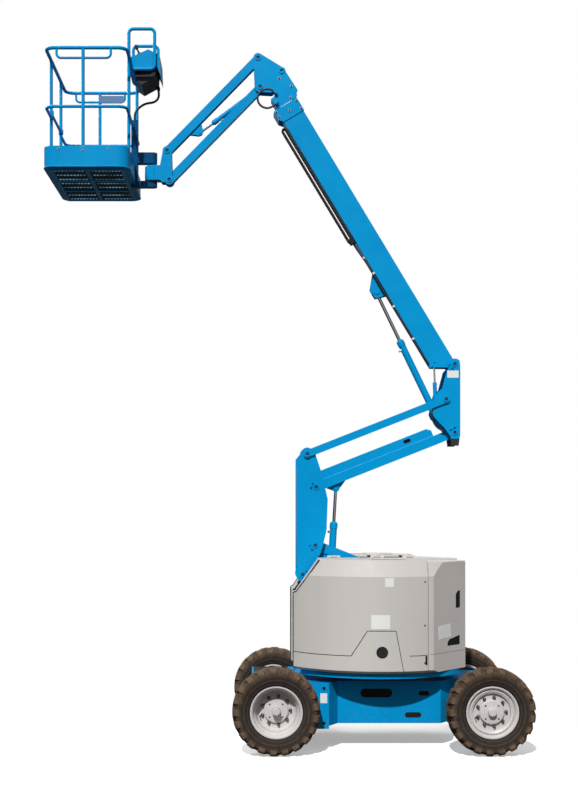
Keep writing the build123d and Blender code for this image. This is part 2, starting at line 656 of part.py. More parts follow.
with BuildPart() as lower_link:
    link = leaning(POST_LINK, -ARM_ANGLE)
    plate(
        [(0, -LINK_HALF_DEPTH), (ARM_LENGTH, -LINK_HALF_DEPTH), (ARM_LENGTH, LINK_HALF_DEPTH),
         (0, LINK_HALF_DEPTH)],
        -62, 62, link,
    )
    disc((0, 0), 38, -SIDE_INNER + 1, SIDE_INNER - 1, link)
    disc((ARM_LENGTH, 0), 38, -62, 62, link)
    for end in (0, ARM_LENGTH):
        disc((end, 0), PIN + FIT, -200, 200, link, mode=Mode.SUBTRACT)
lower_link.part.label = "lower_link"
export_step(lower_link.part, "parts/lower_link.step")

# The post's plates, from the lower arm's pin.
POST_SHAPE = (
    (-173, -255), (-173, 797), (-131, 849), (-54, 885), (2, 840), (49, 699), (100, 492), (115, 426),
    (105, 143), (77, 21), (49, -74), (-58, -243),
)
with BuildPart() as post:
    back = POST_LOWER[0] + POST_SHAPE[0][0]
    twin(
        around(POST_LOWER, POST_SHAPE), SIDE_INNER, SIDE_OUTER,
        lobes=[(*POST_TOP, 58), (*POST_LINK, 62)],
    )
    box((back, back + PLATE), (-SIDE_INNER, SIDE_INNER), (POST_LOWER[1] - 195, POST_LOWER[1] + 715))
    for point in (POST_UPPER, POST_LOWER, POST_LINK):
        disc(point, PIN, -SIDE_OUTER, SIDE_OUTER)
        head(point, SIDE_OUTER)
    # the upper link's straps hang outside the plates on stub pins, with the boom's way free between
    twin((), SIDE_INNER, STRAP_OUTER, lobes=[(*POST_TOP, PIN)])
    twin((), SIDE_OUTER, STRAP_INNER - RUN, lobes=[(*POST_TOP, 34)])
    head(POST_TOP, STRAP_OUTER)
post.part.label = "post"
export_step(post.part, "parts/post.step")

with BuildPart() as upper_arm:
    arm_body(UPPER_ARM, 1)
    for side in (-1, 1):
        plate(
            [(BRACKET[0] - 85, -44), (BRACKET[0] + 110, -44), (BRACKET[0] + 24, -100),
             (BRACKET[0] - 24, -100)],
            *sorted((side * 36, side * 48)), UPPER_ARM, lobes=[(*BRACKET, 30)],
        )
        with BuildSketch(UPPER_ARM.offset(-side * CHANNEL_HALF)) as slot:
            with Locations((945, 85)):
                SlotOverall(70, 35)
        extrude(slot.sketch, amount=30, both=True, mode=Mode.SUBTRACT)
    twin((), 48, 55, lobes=[(*ROD_PIN, 20)])
    # hollow that the rod's eye swings into
    plate([(125, -46), (220, -46), (220, -30), (125, -30)], -24, 24, UPPER_ARM, mode=Mode.SUBTRACT)
    disc((0, 0), PIN + FIT, -200, 200, UPPER_ARM, mode=Mode.SUBTRACT)
    disc((ARM_LENGTH, 0), PIN + FIT, -200, 200, UPPER_ARM, mode=Mode.SUBTRACT)
upper_arm.part.label = "upper_arm"
export_step(upper_arm.part, "parts/upper_arm.step")

with BuildPart() as upper_link:
    link = leaning(POST_TOP, ARM_ANGLE)
    twin(
        [(0, -LINK_HALF_DEPTH), (ARM_LENGTH, -LINK_HALF_DEPTH), (ARM_LENGTH, LINK_HALF_DEPTH),
         (0, LINK_HALF_DEPTH)],
        STRAP_INNER, STRAP_OUTER, link,
        lobes=[(0, 0, 38), (ARM_LENGTH, 0, 38)],
        holes=[(0, 0, PIN + FIT), (ARM_LENGTH, 0, PIN + FIT)],
    )
upper_link.part.label = "upper_link"
export_step(upper_link.part, "parts/upper_link.step")

# Route of the riser's hose, from the upper arm's pin.
RISER_ROUTE = ((-144, 331), (-160, 284), (-196, 222), (-206, 166), (-194, 96), (-160, 48),
               (-116, 20), (-67, 9))
HOSE_Y = -112.0
riser_hose_points = [(x, HOSE_Y, z) for x, z in around(RISER_LOWER, RISER_ROUTE)]

with BuildPart() as riser:
    back = RISER_LOWER[0] + 51
    twin(
        around(BOOM_PIVOT, ((51, -21), (42, 35), (19, 48), (-71, -59)))
        + around(
            RISER_LOWER,
            ((-116, 405), (-162, 366), (-202, 241), (-192, 141), (-97, 42), (-39, -36), (-36, -54),
             (44, -54), (51, -29)),
        ),
        SIDE_INNER, SIDE_OUTER,
        lobes=[(*RISER_LOWER, 51), (*BOOM_PIVOT, 49), (*LIFT_BASE, 40)],
    )
    # foot plates that carry the bumpers
    foot = (RISER_LOWER[1] - 58, RISER_LOWER[1] - 46)
    for side in (-1, 1):
        box((back - 87, back - 7), sorted((side * (SIDE_INNER - 26), side * SIDE_OUTER)), foot)
    box((back - PLATE, back), (-SIDE_INNER, SIDE_INNER), (RISER_LOWER[1] + 62, BOOM_PIVOT[1] - 61))
    for point in (RISER_LOWER, BOOM_PIVOT):
        disc(point, PIN, -SIDE_OUTER, SIDE_OUTER)
        head(point, SIDE_OUTER)
    # the lift cylinder's pin ends flush, under the upper link's straps
    disc(LIFT_BASE, PIN, -SIDE_OUTER, SIDE_OUTER)
    twin((), ARM_HALF + 1, SIDE_INNER, lobes=[(*RISER_LOWER, 32)])
    twin((), 82, SIDE_INNER, lobes=[(*LIFT_BASE, 28)])
    twin((), SIDE_INNER, STRAP_OUTER, lobes=[(*RISER_LINK, PIN)])
    twin((), SIDE_OUTER, STRAP_INNER - RUN, lobes=[(*RISER_LINK, 34)])
    head(RISER_LINK, STRAP_OUTER)
    for points in (riser_hose_points, riser_hose_points[::-1]):
        ferrule(points, 34)
        x, y, z = points[0]
        ledge = (x - 4, x + 26) if points[0] == riser_hose_points[0] else (x + 12, x + 38)
        rise = (z + 12, z + 40) if points[0] == riser_hose_points[0] else (z - 18, z + 12)
        box(ledge, (-SIDE_INNER, y + 14), rise)
riser.part.label = "riser"
export_step(riser.part, "parts/riser.step")

with BuildPart() as riser_hose:
    hose(riser_hose_points, HOSE)
riser_hose.part.label = "riser_hose"
export_step(riser_hose.part, "parts/riser_hose.step")

with BuildPart() as bumpers:
    twin(
        [(back - 79, foot[0] - 65), (back - 15, foot[0] - 65), (back - 7, foot[0]), (back - 87, foot[0])],
        SIDE_INNER - 26, SIDE_OUTER,
    )
bumpers.part.label = "bumpers"
export_step(bumpers.part, "parts/bumpers.step")


# Hydraulic cylinders: name, base pin, rod pin, Y, half width at the base pin, base pin radius,
# barrel radius, barrel start and end, rod radius, rod's inner end, rod eye's radius.
# Lengths count from the base pin.
CYLINDERS = (
    ("secondary", BASE_PIN, ROD_PIN, 0.0, 34.0, 15.0, 33.0, -125.0, 306.0, 15.0, 75.0, 25.0),
    ("lift", LIFT_BASE, LIFT_EYE, 0.0, 30.0, PIN, 32.0, PIN, 755.0, 16.0, 510.0, 26.0),
    ("master", LIFT_BASE, MASTER_EYE, -58.0, 18.0, PIN, 19.0, PIN, 288.0, 9.0, 232.0, 19.0),
    ("jib", JIB_LOW, JIB_EYE, 0.0, 24.0, PIN, 22.0, PIN, 545.0, 12.0, 155.0, 17.0),
)
for name, base, eye, y, half, pin, radius, start, end, rod_radius, tail, eye_radius in CYLINDERS:
    angle = atan2(eye[1] - base[1], eye[0] - base[0])
    plane = leaning(base, angle)
    reach = hypot(eye[0] - base[0], eye[1] - base[1])
    core = Plane(origin=(base[0], y, base[1]), x_dir=(0, 1, 0), z_dir=(cos(angle), 0, sin(angle)))
    with BuildPart() as barrel:
        with BuildSketch(core.offset(start)) as tube:
            Circle(radius)
        extrude(tube.sketch, amount=end - start)
        disc((0, 0), pin + 9, y - half, y + half, plane)
        with BuildSketch(core.offset(start + 25)) as bore:
            Circle(rod_radius + FIT)
        extrude(bore.sketch, amount=end - start, mode=Mode.SUBTRACT)
        if start < 0:
            # the trunnion's sockets stop short of the rod
            for side in (-1, 1):
                plate((), *sorted((side * 26, side * 50)), plane, lobes=[(0, 0, pin + FIT)],
                      mode=Mode.SUBTRACT)
        else:
            disc((0, 0), pin + FIT, y - half, y + half, plane, mode=Mode.SUBTRACT)
    barrel.part.label = name + "_barrel"
    export_step(barrel.part, "parts/" + name + "_barrel.step")
    with BuildPart() as rod:
        with BuildSketch(core.offset(tail)) as shaft:
            Circle(rod_radius)
        extrude(shaft.sketch, amount=reach - tail)
        disc((reach, 0), eye_radius, y - rod_radius - 3, y + rod_radius + 3, plane)
    rod.part.label = name + "_rod"
    export_step(rod.part, "parts/" + name + "_rod.step")


# ================================================================ primary boom
# Route of the boom's hose, along and across the boom, and Y.
BOOM_ROUTE = (
    (1440, 214, -45), (1380, 214, -45), (1275, 208, -62), (1110, 202, -80), (930, 208, -82),
    (750, 202, -80),
    (570, 208, -82), (400, 202, -86), (270, 206, -96), (172, 202, -104), (112, 201, -106),
)
boom_hose_points = [on_boom(*point) for point in BOOM_ROUTE]
with BuildPart() as boom_outer:
    plate(
        [(-32, 4), (84, BOOM_UNDER), (BOOM_END, BOOM_UNDER), (BOOM_END, BOOM_BACK), (-10, BOOM_BACK)],
        -BOOM_HALF, BOOM_HALF, BOOM, lobes=[(0, 12, 34)],
    )
    wall = BOOM_WALL
    plate(
        [(-100, BOOM_BACK + wall), (-100, BOOM_UNDER - wall), (BOOM_END + 10, BOOM_UNDER - wall),
         (BOOM_END + 10, BOOM_BACK + wall)],
        -BOOM_HALF + wall, BOOM_HALF - wall, BOOM, mode=Mode.SUBTRACT,
    )
    plate([(-100, 100), (-100, 250), (430, 250), (430, 100)], -BOOM_HALF + wall, BOOM_HALF - wall, BOOM,
          mode=Mode.SUBTRACT)
    # collar at the mouth
    plate([(2740, BOOM_BACK - 8), (BOOM_END, BOOM_BACK - 8), (BOOM_END, 222), (2780, 222),
          (2740, BOOM_UNDER)],
          -BOOM_HALF - 8, -BOOM_HALF, BOOM)
    plate([(2740, BOOM_BACK - 8), (BOOM_END, BOOM_BACK - 8), (BOOM_END, 222), (2780, 222),
          (2740, BOOM_UNDER)],
          BOOM_HALF, BOOM_HALF + 8, BOOM)
    plate([(2780, BOOM_UNDER), (BOOM_END, BOOM_UNDER), (BOOM_END, 222), (2780, 222)], -BOOM_HALF,
          BOOM_HALF, BOOM)
    plate([(2740, BOOM_BACK - 8), (BOOM_END, BOOM_BACK - 8), (BOOM_END, BOOM_BACK), (2740, BOOM_BACK)],
          -BOOM_HALF, BOOM_HALF, BOOM)
    # pivot bushing
    disc((0, 0), 42, -SIDE_INNER + 1, SIDE_INNER - 1, BOOM)
    disc((0, 0), PIN + FIT, -200, 200, BOOM, mode=Mode.SUBTRACT)
    # bracket for the lift cylinder
    twin([(870, BOOM_UNDER - 2), (1130, BOOM_UNDER - 2), (1000, 300), (905, 300)], 37, 51, BOOM,
         lobes=[(952, 258, 42)])
    twin((), 51, 58, BOOM, lobes=[(952, 258, HEAD)])
    # pin of the master cylinder
    disc((117, 140), 12, -BOOM_HALF - 6, -BOOM_HALF + wall, BOOM)
    disc((117, 140), 12, BOOM_HALF - wall, BOOM_HALF + 6, BOOM)
    # the hose ends in a lug beside the foot
    ferrule(boom_hose_points[::-1], 24)
    plate([(84, 172), (104, 172), (104, 212), (84, 212)], BOOM_ROUTE[-1][2] - 12, -BOOM_HALF, BOOM)
boom_outer.part.label = "boom_outer"
export_step(boom_outer.part, "parts/boom_outer.step")

with BuildPart() as boom_hose:
    hose(boom_hose_points, HOSE)
boom_hose.part.label = "boom_hose"
export_step(boom_hose.part, "parts/boom_hose.step")

# The loop of hose at the boom's tip, along and across the boom.
LOOP_CENTRE = (3003.0, 214.0)
LOOP_RADIUS = 90.0
LOOP_STEPS = 13
LOOP_Y = -106.0
tip_hose_points = [
    on_boom(*ahead(LOOP_CENTRE, radians(204 - 277 * step / (LOOP_STEPS - 1)), LOOP_RADIUS), LOOP_Y)
    for step in range(LOOP_STEPS)
]
with BuildPart() as tip_hose:
    hose(tip_hose_points, HOSE + 1)
tip_hose.part.label = "tip_hose"
export_step(tip_hose.part, "parts/tip_hose.step")

with BuildPart() as boom_inner:
    gap = BOOM_WALL + SLIDE_GAP
    plate(
        [(1350, BOOM_BACK + gap), (2990, BOOM_BACK + gap), (2990, BOOM_UNDER - gap),
         (1350, BOOM_UNDER - gap)],
        -BOOM_HALF + gap, BOOM_HALF - gap, BOOM,
    )
    # slide pads that run in the outer boom
    plate(
        [(1350, BOOM_BACK + BOOM_WALL + RUN), (1430, BOOM_BACK + BOOM_WALL + RUN),
         (1430, BOOM_UNDER - BOOM_WALL - RUN), (1350, BOOM_UNDER - BOOM_WALL - RUN)],
        -BOOM_HALF + BOOM_WALL + RUN, BOOM_HALF - BOOM_WALL - RUN, BOOM,
    )
    plate(
        [(1300, BOOM_BACK + gap + 6), (3100, BOOM_BACK + gap + 6), (3100, BOOM_UNDER - gap - 6),
         (1300, BOOM_UNDER - gap - 6)],
        -BOOM_HALF + gap + 6, BOOM_HALF - gap - 6, BOOM, mode=Mode.SUBTRACT,
    )
    twin(
        [(3186, -13), (3156, -66), (2930, -74), (2878, -20), (2878, 168), (2961, 181), (3010, 127),
         (3117, 47)],
        TIP_INNER, TIP_HALF, BOOM, lobes=[(*LEVEL_PIVOT, 36)],
    )
    disc(LEVEL_PIVOT, PIN, -TIP_HALF, TIP_HALF, BOOM)
    head(LEVEL_PIVOT, TIP_HALF, BOOM)
    for points, stud in ((tip_hose_points, (2934, 147)), (tip_hose_points[::-1], (3001, 119))):
        ferrule(points, 36, FERRULE + 1)
        plate((), LOOP_Y, -TIP_HALF, BOOM, lobes=[(*stud, 12)])
boom_inner.part.label = "boom_inner"
export_step(boom_inner.part, "parts/boom_inner.step")

with BuildPart() as cable_chain:
    plate([(1475, 196), (2700, 196), (2700, 252), (1475, 252)], -75, -15, BOOM)
    plate([(1440, BOOM_UNDER), (1500, BOOM_UNDER), (1500, 236), (1440, 236)], -75, -15, BOOM)
cable_chain.part.label = "cable_chain"
export_step(cable_chain.part, "parts/cable_chain.step")


# ================================================================ jib
def circle_hull(lobes):
    """Straight sides that wrap around a row of circles given in turn, as X, Z and radius."""
    points = []
    for (x0, z0, r0), (x1, z1, r1) in zip(lobes, lobes[1:] + lobes[:1]):
        heading = atan2(z1 - z0, x1 - x0) - radians(90)
        points.append((x0 + r0 * cos(heading), z0 + r0 * sin(heading)))
        points.append((x1 + r1 * cos(heading), z1 + r1 * sin(heading)))
    return points


MOUNT = [(*LEVEL, 38), (*JIB_TOP, 42), (*JIB_LOW, 50), (*SLAVE, 44)]
with BuildPart() as jib_mount:
    twin(circle_hull(MOUNT), MOUNT_INNER, MOUNT_OUTER, lobes=MOUNT, holes=[(*LEVEL, PIN + FIT)])
    for point in (JIB_TOP, JIB_LOW):
        disc(point, PIN, -MOUNT_OUTER, MOUNT_OUTER)
        head(point, MOUNT_OUTER)
    disc(SLAVE, 14, -MOUNT_OUTER, MOUNT_OUTER)
jib_mount.part.label = "jib_mount"
export_step(jib_mount.part, "parts/jib_mount.step")

JIB_DEPTH = 38.0  # half depth of the beams
JIB_WALL = 8.0
JIB_GAP = 30.0  # half width inside the beams, which the cylinder lies in
EYE_LUG = 17.0  # inner face of the lugs on either side of the cylinder's eye
with BuildPart() as jib_upper:
    plate([(0, -JIB_DEPTH), (JIB_LENGTH, -JIB_DEPTH), (JIB_LENGTH, JIB_DEPTH), (0, JIB_DEPTH)],
          -JIB_HALF, JIB_HALF, JIB_UPPER, lobes=[(0, 0, 40), (JIB_LENGTH, 0, 40)])
    plate([(60, -JIB_DEPTH + 4), (JIB_LENGTH - 60, -JIB_DEPTH + 4), (JIB_LENGTH - 60, 60), (60, 60)],
          -JIB_GAP, JIB_GAP, JIB_UPPER, mode=Mode.SUBTRACT)
    # lugs for the jib cylinder's eye, in the gap of the lower beam
    twin([(808, -JIB_DEPTH), (950, -JIB_DEPTH), (950, 36), (895, 108), (840, 108), (808, 60)],
         EYE_LUG, EYE_LUG + 8, JIB_UPPER, lobes=[(868, 92, 25)])
    twin([(808, -JIB_DEPTH), (950, -JIB_DEPTH), (950, 0), (808, 0)], EYE_LUG, JIB_GAP, JIB_UPPER)
    twin((), EYE_LUG + 8, EYE_LUG + 11, JIB_UPPER, lobes=[(868, 92, 16)])
    for end in (0, JIB_LENGTH):
        twin((), JIB_HALF, MOUNT_INNER - 1, JIB_UPPER, lobes=[(end, 0, 30)])
        disc((end, 0), PIN + FIT, -100, 100, JIB_UPPER, mode=Mode.SUBTRACT)
jib_upper.part.label = "jib_upper"
export_step(jib_upper.part, "parts/jib_upper.step")

with BuildPart() as jib_lower:
    twin([(0, -JIB_DEPTH), (JIB_LENGTH, -JIB_DEPTH), (JIB_LENGTH, JIB_DEPTH), (0, JIB_DEPTH)],
         JIB_GAP, JIB_HALF,
         JIB_LOWER, lobes=[(0, 0, 40), (JIB_LENGTH, 0, 40)],
         holes=[(0, 0, PIN + FIT), (JIB_LENGTH, 0, PIN + FIT)])
    plate([(60, JIB_DEPTH - 6), (JIB_LENGTH - 60, JIB_DEPTH - 6), (JIB_LENGTH - 60, JIB_DEPTH),
          (60, JIB_DEPTH)],
          -JIB_GAP, JIB_GAP, JIB_LOWER)
    for end in (0, JIB_LENGTH):
        twin((), JIB_HALF, MOUNT_INNER - 1, JIB_LOWER, lobes=[(end, 0, 30)], holes=[(end, 0, PIN + FIT)])
jib_lower.part.label = "jib_lower"
export_step(jib_lower.part, "parts/jib_lower.step")

# Side plates of the platform's mount, from the jib's lower end pin.
MOUNT_SHAPE = (
    (-206, 135), (-86, 135), (-60, 270), (22, 270), (30, -20), (-67, -23), (-104, 23),
    (-132, 23), (-197, 5),
    (-206, 60),
)
ROTATOR = (-2.0, 128.0)  # foot and top of the rotator, above that pin
SUPPORT_LOW = (-62.0, -7.0)  # and of the support's two arms, which turn on it
SUPPORT_HIGH = (158.0, 258.0)
with BuildPart() as platform_mount:
    twin(
        around(END_LOW, MOUNT_SHAPE), MOUNT_INNER, MOUNT_OUTER, lobes=[(*END_TOP, 42), (*END_LOW, 44)],
    )
    for point in (END_TOP, END_LOW):
        disc(point, PIN, -MOUNT_OUTER, MOUNT_OUTER)
        head(point, MOUNT_OUTER)
    box((ROTATOR_X + 18, END_LOW[0] - 70), (-MOUNT_OUTER, MOUNT_OUTER), (END_LOW[1], END_LOW[1] + 126))
    with Locations((ROTATOR_X, 0, END_LOW[1] + sum(ROTATOR) / 2)):
        Cylinder(70, ROTATOR[1] - ROTATOR[0])
    with Locations((ROTATOR_X, 0, END_LOW[1] + (SUPPORT_LOW[1] + SUPPORT_HIGH[0]) / 2)):
        Cylinder(30, SUPPORT_HIGH[0] - SUPPORT_LOW[1] - 2 * RUN)
platform_mount.part.label = "platform_mount"
export_step(platform_mount.part, "parts/platform_mount.step")

# ================================================================ platform
MAST = (PLATFORM_BACK - 36, PLATFORM_BACK + 27)
MAST_HALF = 32.0
MAST_TOP = END_LOW[1] + 562
with BuildPart() as platform_support:
    box(MAST, (-MAST_HALF, MAST_HALF), (FLOOR_BOTTOM - 29, MAST_TOP))
    for heights in (SUPPORT_LOW, SUPPORT_HIGH):
        low, high = (END_LOW[1] + height for height in heights)
        box((PLATFORM_BACK + 20, ROTATOR_X), (-45, 45), (low, high))
        with Locations((ROTATOR_X, 0, (low + high) / 2)):
            Cylinder(45, high - low)
platform_support.part.label = "platform_support"
export_step(platform_support.part, "parts/platform_support.step")

centre_x = PLATFORM_BACK - PLATFORM_LENGTH / 2
with BuildPart() as platform_floor:
    with BuildSketch(Plane.XY.offset(FLOOR_BOTTOM)) as tray:
        with Locations((centre_x, 0)):
            RectangleRounded(PLATFORM_LENGTH, 2 * PLATFORM_HALF, PLATFORM_CORNER)
    extrude(tray.sketch, amount=TOE_TOP - FLOOR_BOTTOM)
    with BuildSketch(Plane.XY.offset(FLOOR_BOTTOM + 30)) as inside:
        with Locations((centre_x, 0)):
            RectangleRounded(PLATFORM_LENGTH - 2 * TOE_WALL, 2 * (PLATFORM_HALF - TOE_WALL),
                             PLATFORM_CORNER - TOE_WALL)
    extrude(inside.sketch, amount=TOE_TOP - FLOOR_BOTTOM, mode=Mode.SUBTRACT)
    # the mast stands in a notch
    box((MAST[0], PLATFORM_BACK + 5), (-MAST_HALF, MAST_HALF), (FLOOR_BOTTOM - 75, TOE_TOP + 137),
        mode=Mode.SUBTRACT)
platform_floor.part.label = "platform_floor"
export_step(platform_floor.part, "parts/platform_floor.step")

rail_x = (PLATFORM_BACK - PLATFORM_LENGTH + TOE_WALL + POST_TUBE, PLATFORM_BACK - TOE_WALL - POST_TUBE)
rail_y = PLATFORM_HALF - TOE_WALL - POST_TUBE
handhold = (PLATFORM_BACK - 640, PLATFORM_BACK - 160)
def rail_run(side, height, front, rear, radius):
    """Half of a rail around the platform, from its front to its rear end."""
    run(
        [(rail_x[0], side * front, height), (rail_x[0], side * rail_y, height),
         (rail_x[1], side * rail_y, height), (rail_x[1], side * rear, height)],
        radius, PLATFORM_CORNER - RAIL,
    )


def rails(play=0.0):
    """The top and middle rails, wider by a play where they are cut from what meets them."""
    for side in (-1, 1):
        rail_run(side, TOP_RAIL, 0, 0, RAIL + play)
        rail_run(side, MID_RAIL, GATE_Y, MAST_HALF, MID_TUBE + play)


def grips(play=0.0):
    """The handholds under the top rail, wider by a play where they are cut from the posts."""
    for side in (-1, 1):
        run(
            [(handhold[1], side * rail_y, TOP_RAIL), (handhold[1], side * rail_y, TOP_RAIL - 90),
             (handhold[0], side * rail_y, TOP_RAIL - 90), (handhold[0], side * rail_y, TOP_RAIL)],
            GRIP + play, 40,
        )


with BuildPart() as rail_space:
    rails(RUN)

with BuildPart() as grip_space:
    grips(RUN)

with BuildPart() as guard_rails:
    for side in (-1, 1):
        rail_run(side, TOP_RAIL, 0, 0, RAIL)
guard_rails.part.label = "guard_rails"
export_step(guard_rails.part, "parts/guard_rails.step")

with BuildPart() as mid_rails:
    for side in (-1, 1):
        rail_run(side, MID_RAIL, GATE_Y, MAST_HALF, MID_TUBE)
mid_rails.part.label = "mid_rails"
export_step(mid_rails.part, "parts/mid_rails.step")

with BuildPart() as rail_posts:
    for side in (-1, 1):
        for x, y in ((POST_X, rail_y), (rail_x[0], GATE_Y), (rail_x[1], REAR_POST_Y)):
            bar((x, side * y, TOE_TOP - 60), (x, side * y, TOP_RAIL), POST_TUBE)
    add(rail_space.part, mode=Mode.SUBTRACT)
    add(grip_space.part, mode=Mode.SUBTRACT)
rail_posts.part.label = "rail_posts"
export_step(rail_posts.part, "parts/rail_posts.step")

with BuildPart() as handholds:
    grips()
    add(rail_space.part, mode=Mode.SUBTRACT)
handholds.part.label = "handholds"
export_step(handholds.part, "parts/handholds.step")

# the sliding bar's collars rest on the middle rails
ENTRY_Z = MID_RAIL + MID_TUBE + 23 + RUN
with BuildPart() as entry_bar:
    bar((rail_x[0], -GATE_Y + POST_TUBE + 3, ENTRY_Z), (rail_x[0], GATE_Y - POST_TUBE - 3, ENTRY_Z), 13)
    for side in (-1, 1):
        with Locations((rail_x[0], side * GATE_Y, ENTRY_Z)):
            Cylinder(POST_TUBE + 8, 46)
            Cylinder(POST_TUBE + RUN, 60, mode=Mode.SUBTRACT)
entry_bar.part.label = "entry_bar"
export_step(entry_bar.part, "parts/entry_bar.step")

# Control station at the rear rail, as X and Z from the middle of the top rail's tube.
CONTROL_BOX = ((-4, 1), (32, 8), (171, 74), (275, 22), (282, -159), (247, -68), (177, -103), (-4, -114))
CONTROL_PAN = ((40, -112), (177, -103), (247, -68), (247, -159), (109, -234), (60, -200))
CONTROL_Y = (-420.0, 0.0)
GUARD_TOP = 247.0
GUARD_REACH = 232.0
GUARD_FOOT = -114.0
CABLE = 11.0
CABLE_ROUTE = (
    (240, -184), (242, -236), (230, -265), (207, -286), (177, -296), (146, -299), (101, -312), (55, -344),
    (25, -382), (16.5, -420), (16.5, -460),
)
station = (rail_x[1], TOP_RAIL)
cable_points = [(x, -MAST_HALF + CABLE + 2, z) for x, z in around(station, CABLE_ROUTE)]

with BuildPart() as control_box:
    plate(around(station, CONTROL_BOX), *CONTROL_Y)
    disc(station, RAIL + RUN, -500, 100, mode=Mode.SUBTRACT)
control_box.part.label = "control_box"
export_step(control_box.part, "parts/control_box.step")

with BuildPart() as control_pan:
    plate(around(station, CONTROL_PAN), CONTROL_Y[0] + 40, CONTROL_Y[1] - 10)
    ferrule(cable_points, 30, CABLE + 4)
control_pan.part.label = "control_pan"
export_step(control_pan.part, "parts/control_pan.step")

with BuildPart() as control_guard:
    over = [
        (station[0], station[1] + RAIL + RUN), (station[0], station[1] + GUARD_TOP),
        (station[0] + GUARD_REACH, station[1] + GUARD_TOP),
        (station[0] + GUARD_REACH, station[1] + GUARD_FOOT),
    ]
    near = over + [(station[0] + POST_TUBE + RUN, station[1] + GUARD_FOOT)]
    far = over + [(station[0], station[1] + GUARD_FOOT), (station[0], station[1] - RAIL - RUN)]
    for points, y in ((near, -REAR_POST_Y), (far, CONTROL_Y[1] + 30)):
        run([(x, y, z) for x, z in points], RAIL - 1, 40)
control_guard.part.label = "control_guard"
export_step(control_guard.part, "parts/control_guard.step")

with BuildPart() as platform_cable:
    hose(cable_points, CABLE)
platform_cable.part.label = "platform_cable"
export_step(platform_cable.part, "parts/platform_cable.step")
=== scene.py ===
import json
import logging
import math
from dataclasses import dataclass
from enum import Enum
from typing import Optional, Sequence

import bmesh
import bpy
import numpy as np
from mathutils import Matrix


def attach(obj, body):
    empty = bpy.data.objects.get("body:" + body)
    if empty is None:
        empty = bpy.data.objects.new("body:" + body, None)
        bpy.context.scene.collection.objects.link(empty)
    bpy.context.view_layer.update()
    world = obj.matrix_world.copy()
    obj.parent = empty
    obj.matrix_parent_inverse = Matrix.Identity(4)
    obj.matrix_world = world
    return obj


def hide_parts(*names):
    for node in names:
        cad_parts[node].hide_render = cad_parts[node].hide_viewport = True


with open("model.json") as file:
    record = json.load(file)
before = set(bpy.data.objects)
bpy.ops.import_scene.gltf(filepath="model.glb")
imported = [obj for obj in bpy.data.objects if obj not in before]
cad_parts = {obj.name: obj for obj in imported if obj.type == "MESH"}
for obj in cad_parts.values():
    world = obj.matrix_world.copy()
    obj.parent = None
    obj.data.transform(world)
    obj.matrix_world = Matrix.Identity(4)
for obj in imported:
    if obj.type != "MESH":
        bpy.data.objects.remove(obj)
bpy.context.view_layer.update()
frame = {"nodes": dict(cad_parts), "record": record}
NODES: dict[str, bpy.types.Object] = frame["nodes"]

logging.basicConfig(level=logging.INFO, format="%(name)s: %(message)s")
log = logging.getLogger("boom_lift")

RGB = tuple[float, float, float]
Point = tuple[float, float, float]


class Side(Enum):
    """The two sides of the machine, with the sign of their Y."""

    NEAR = -1
    FAR = 1

    @property
    def tag(self) -> str:
        """The side's name as it ends a piece's name."""
        return self.name.lower()

    @property
    def normal(self) -> Point:
        """The direction out of the machine on this side."""
        return (0.0, float(self.value), 0.0)


# ---------------------------------------------------------------- materials
def scaled(colour: RGB, factor: float) -> RGB:
    """Return a colour made darker or lighter by a factor."""
    return tuple(factor * part for part in colour)


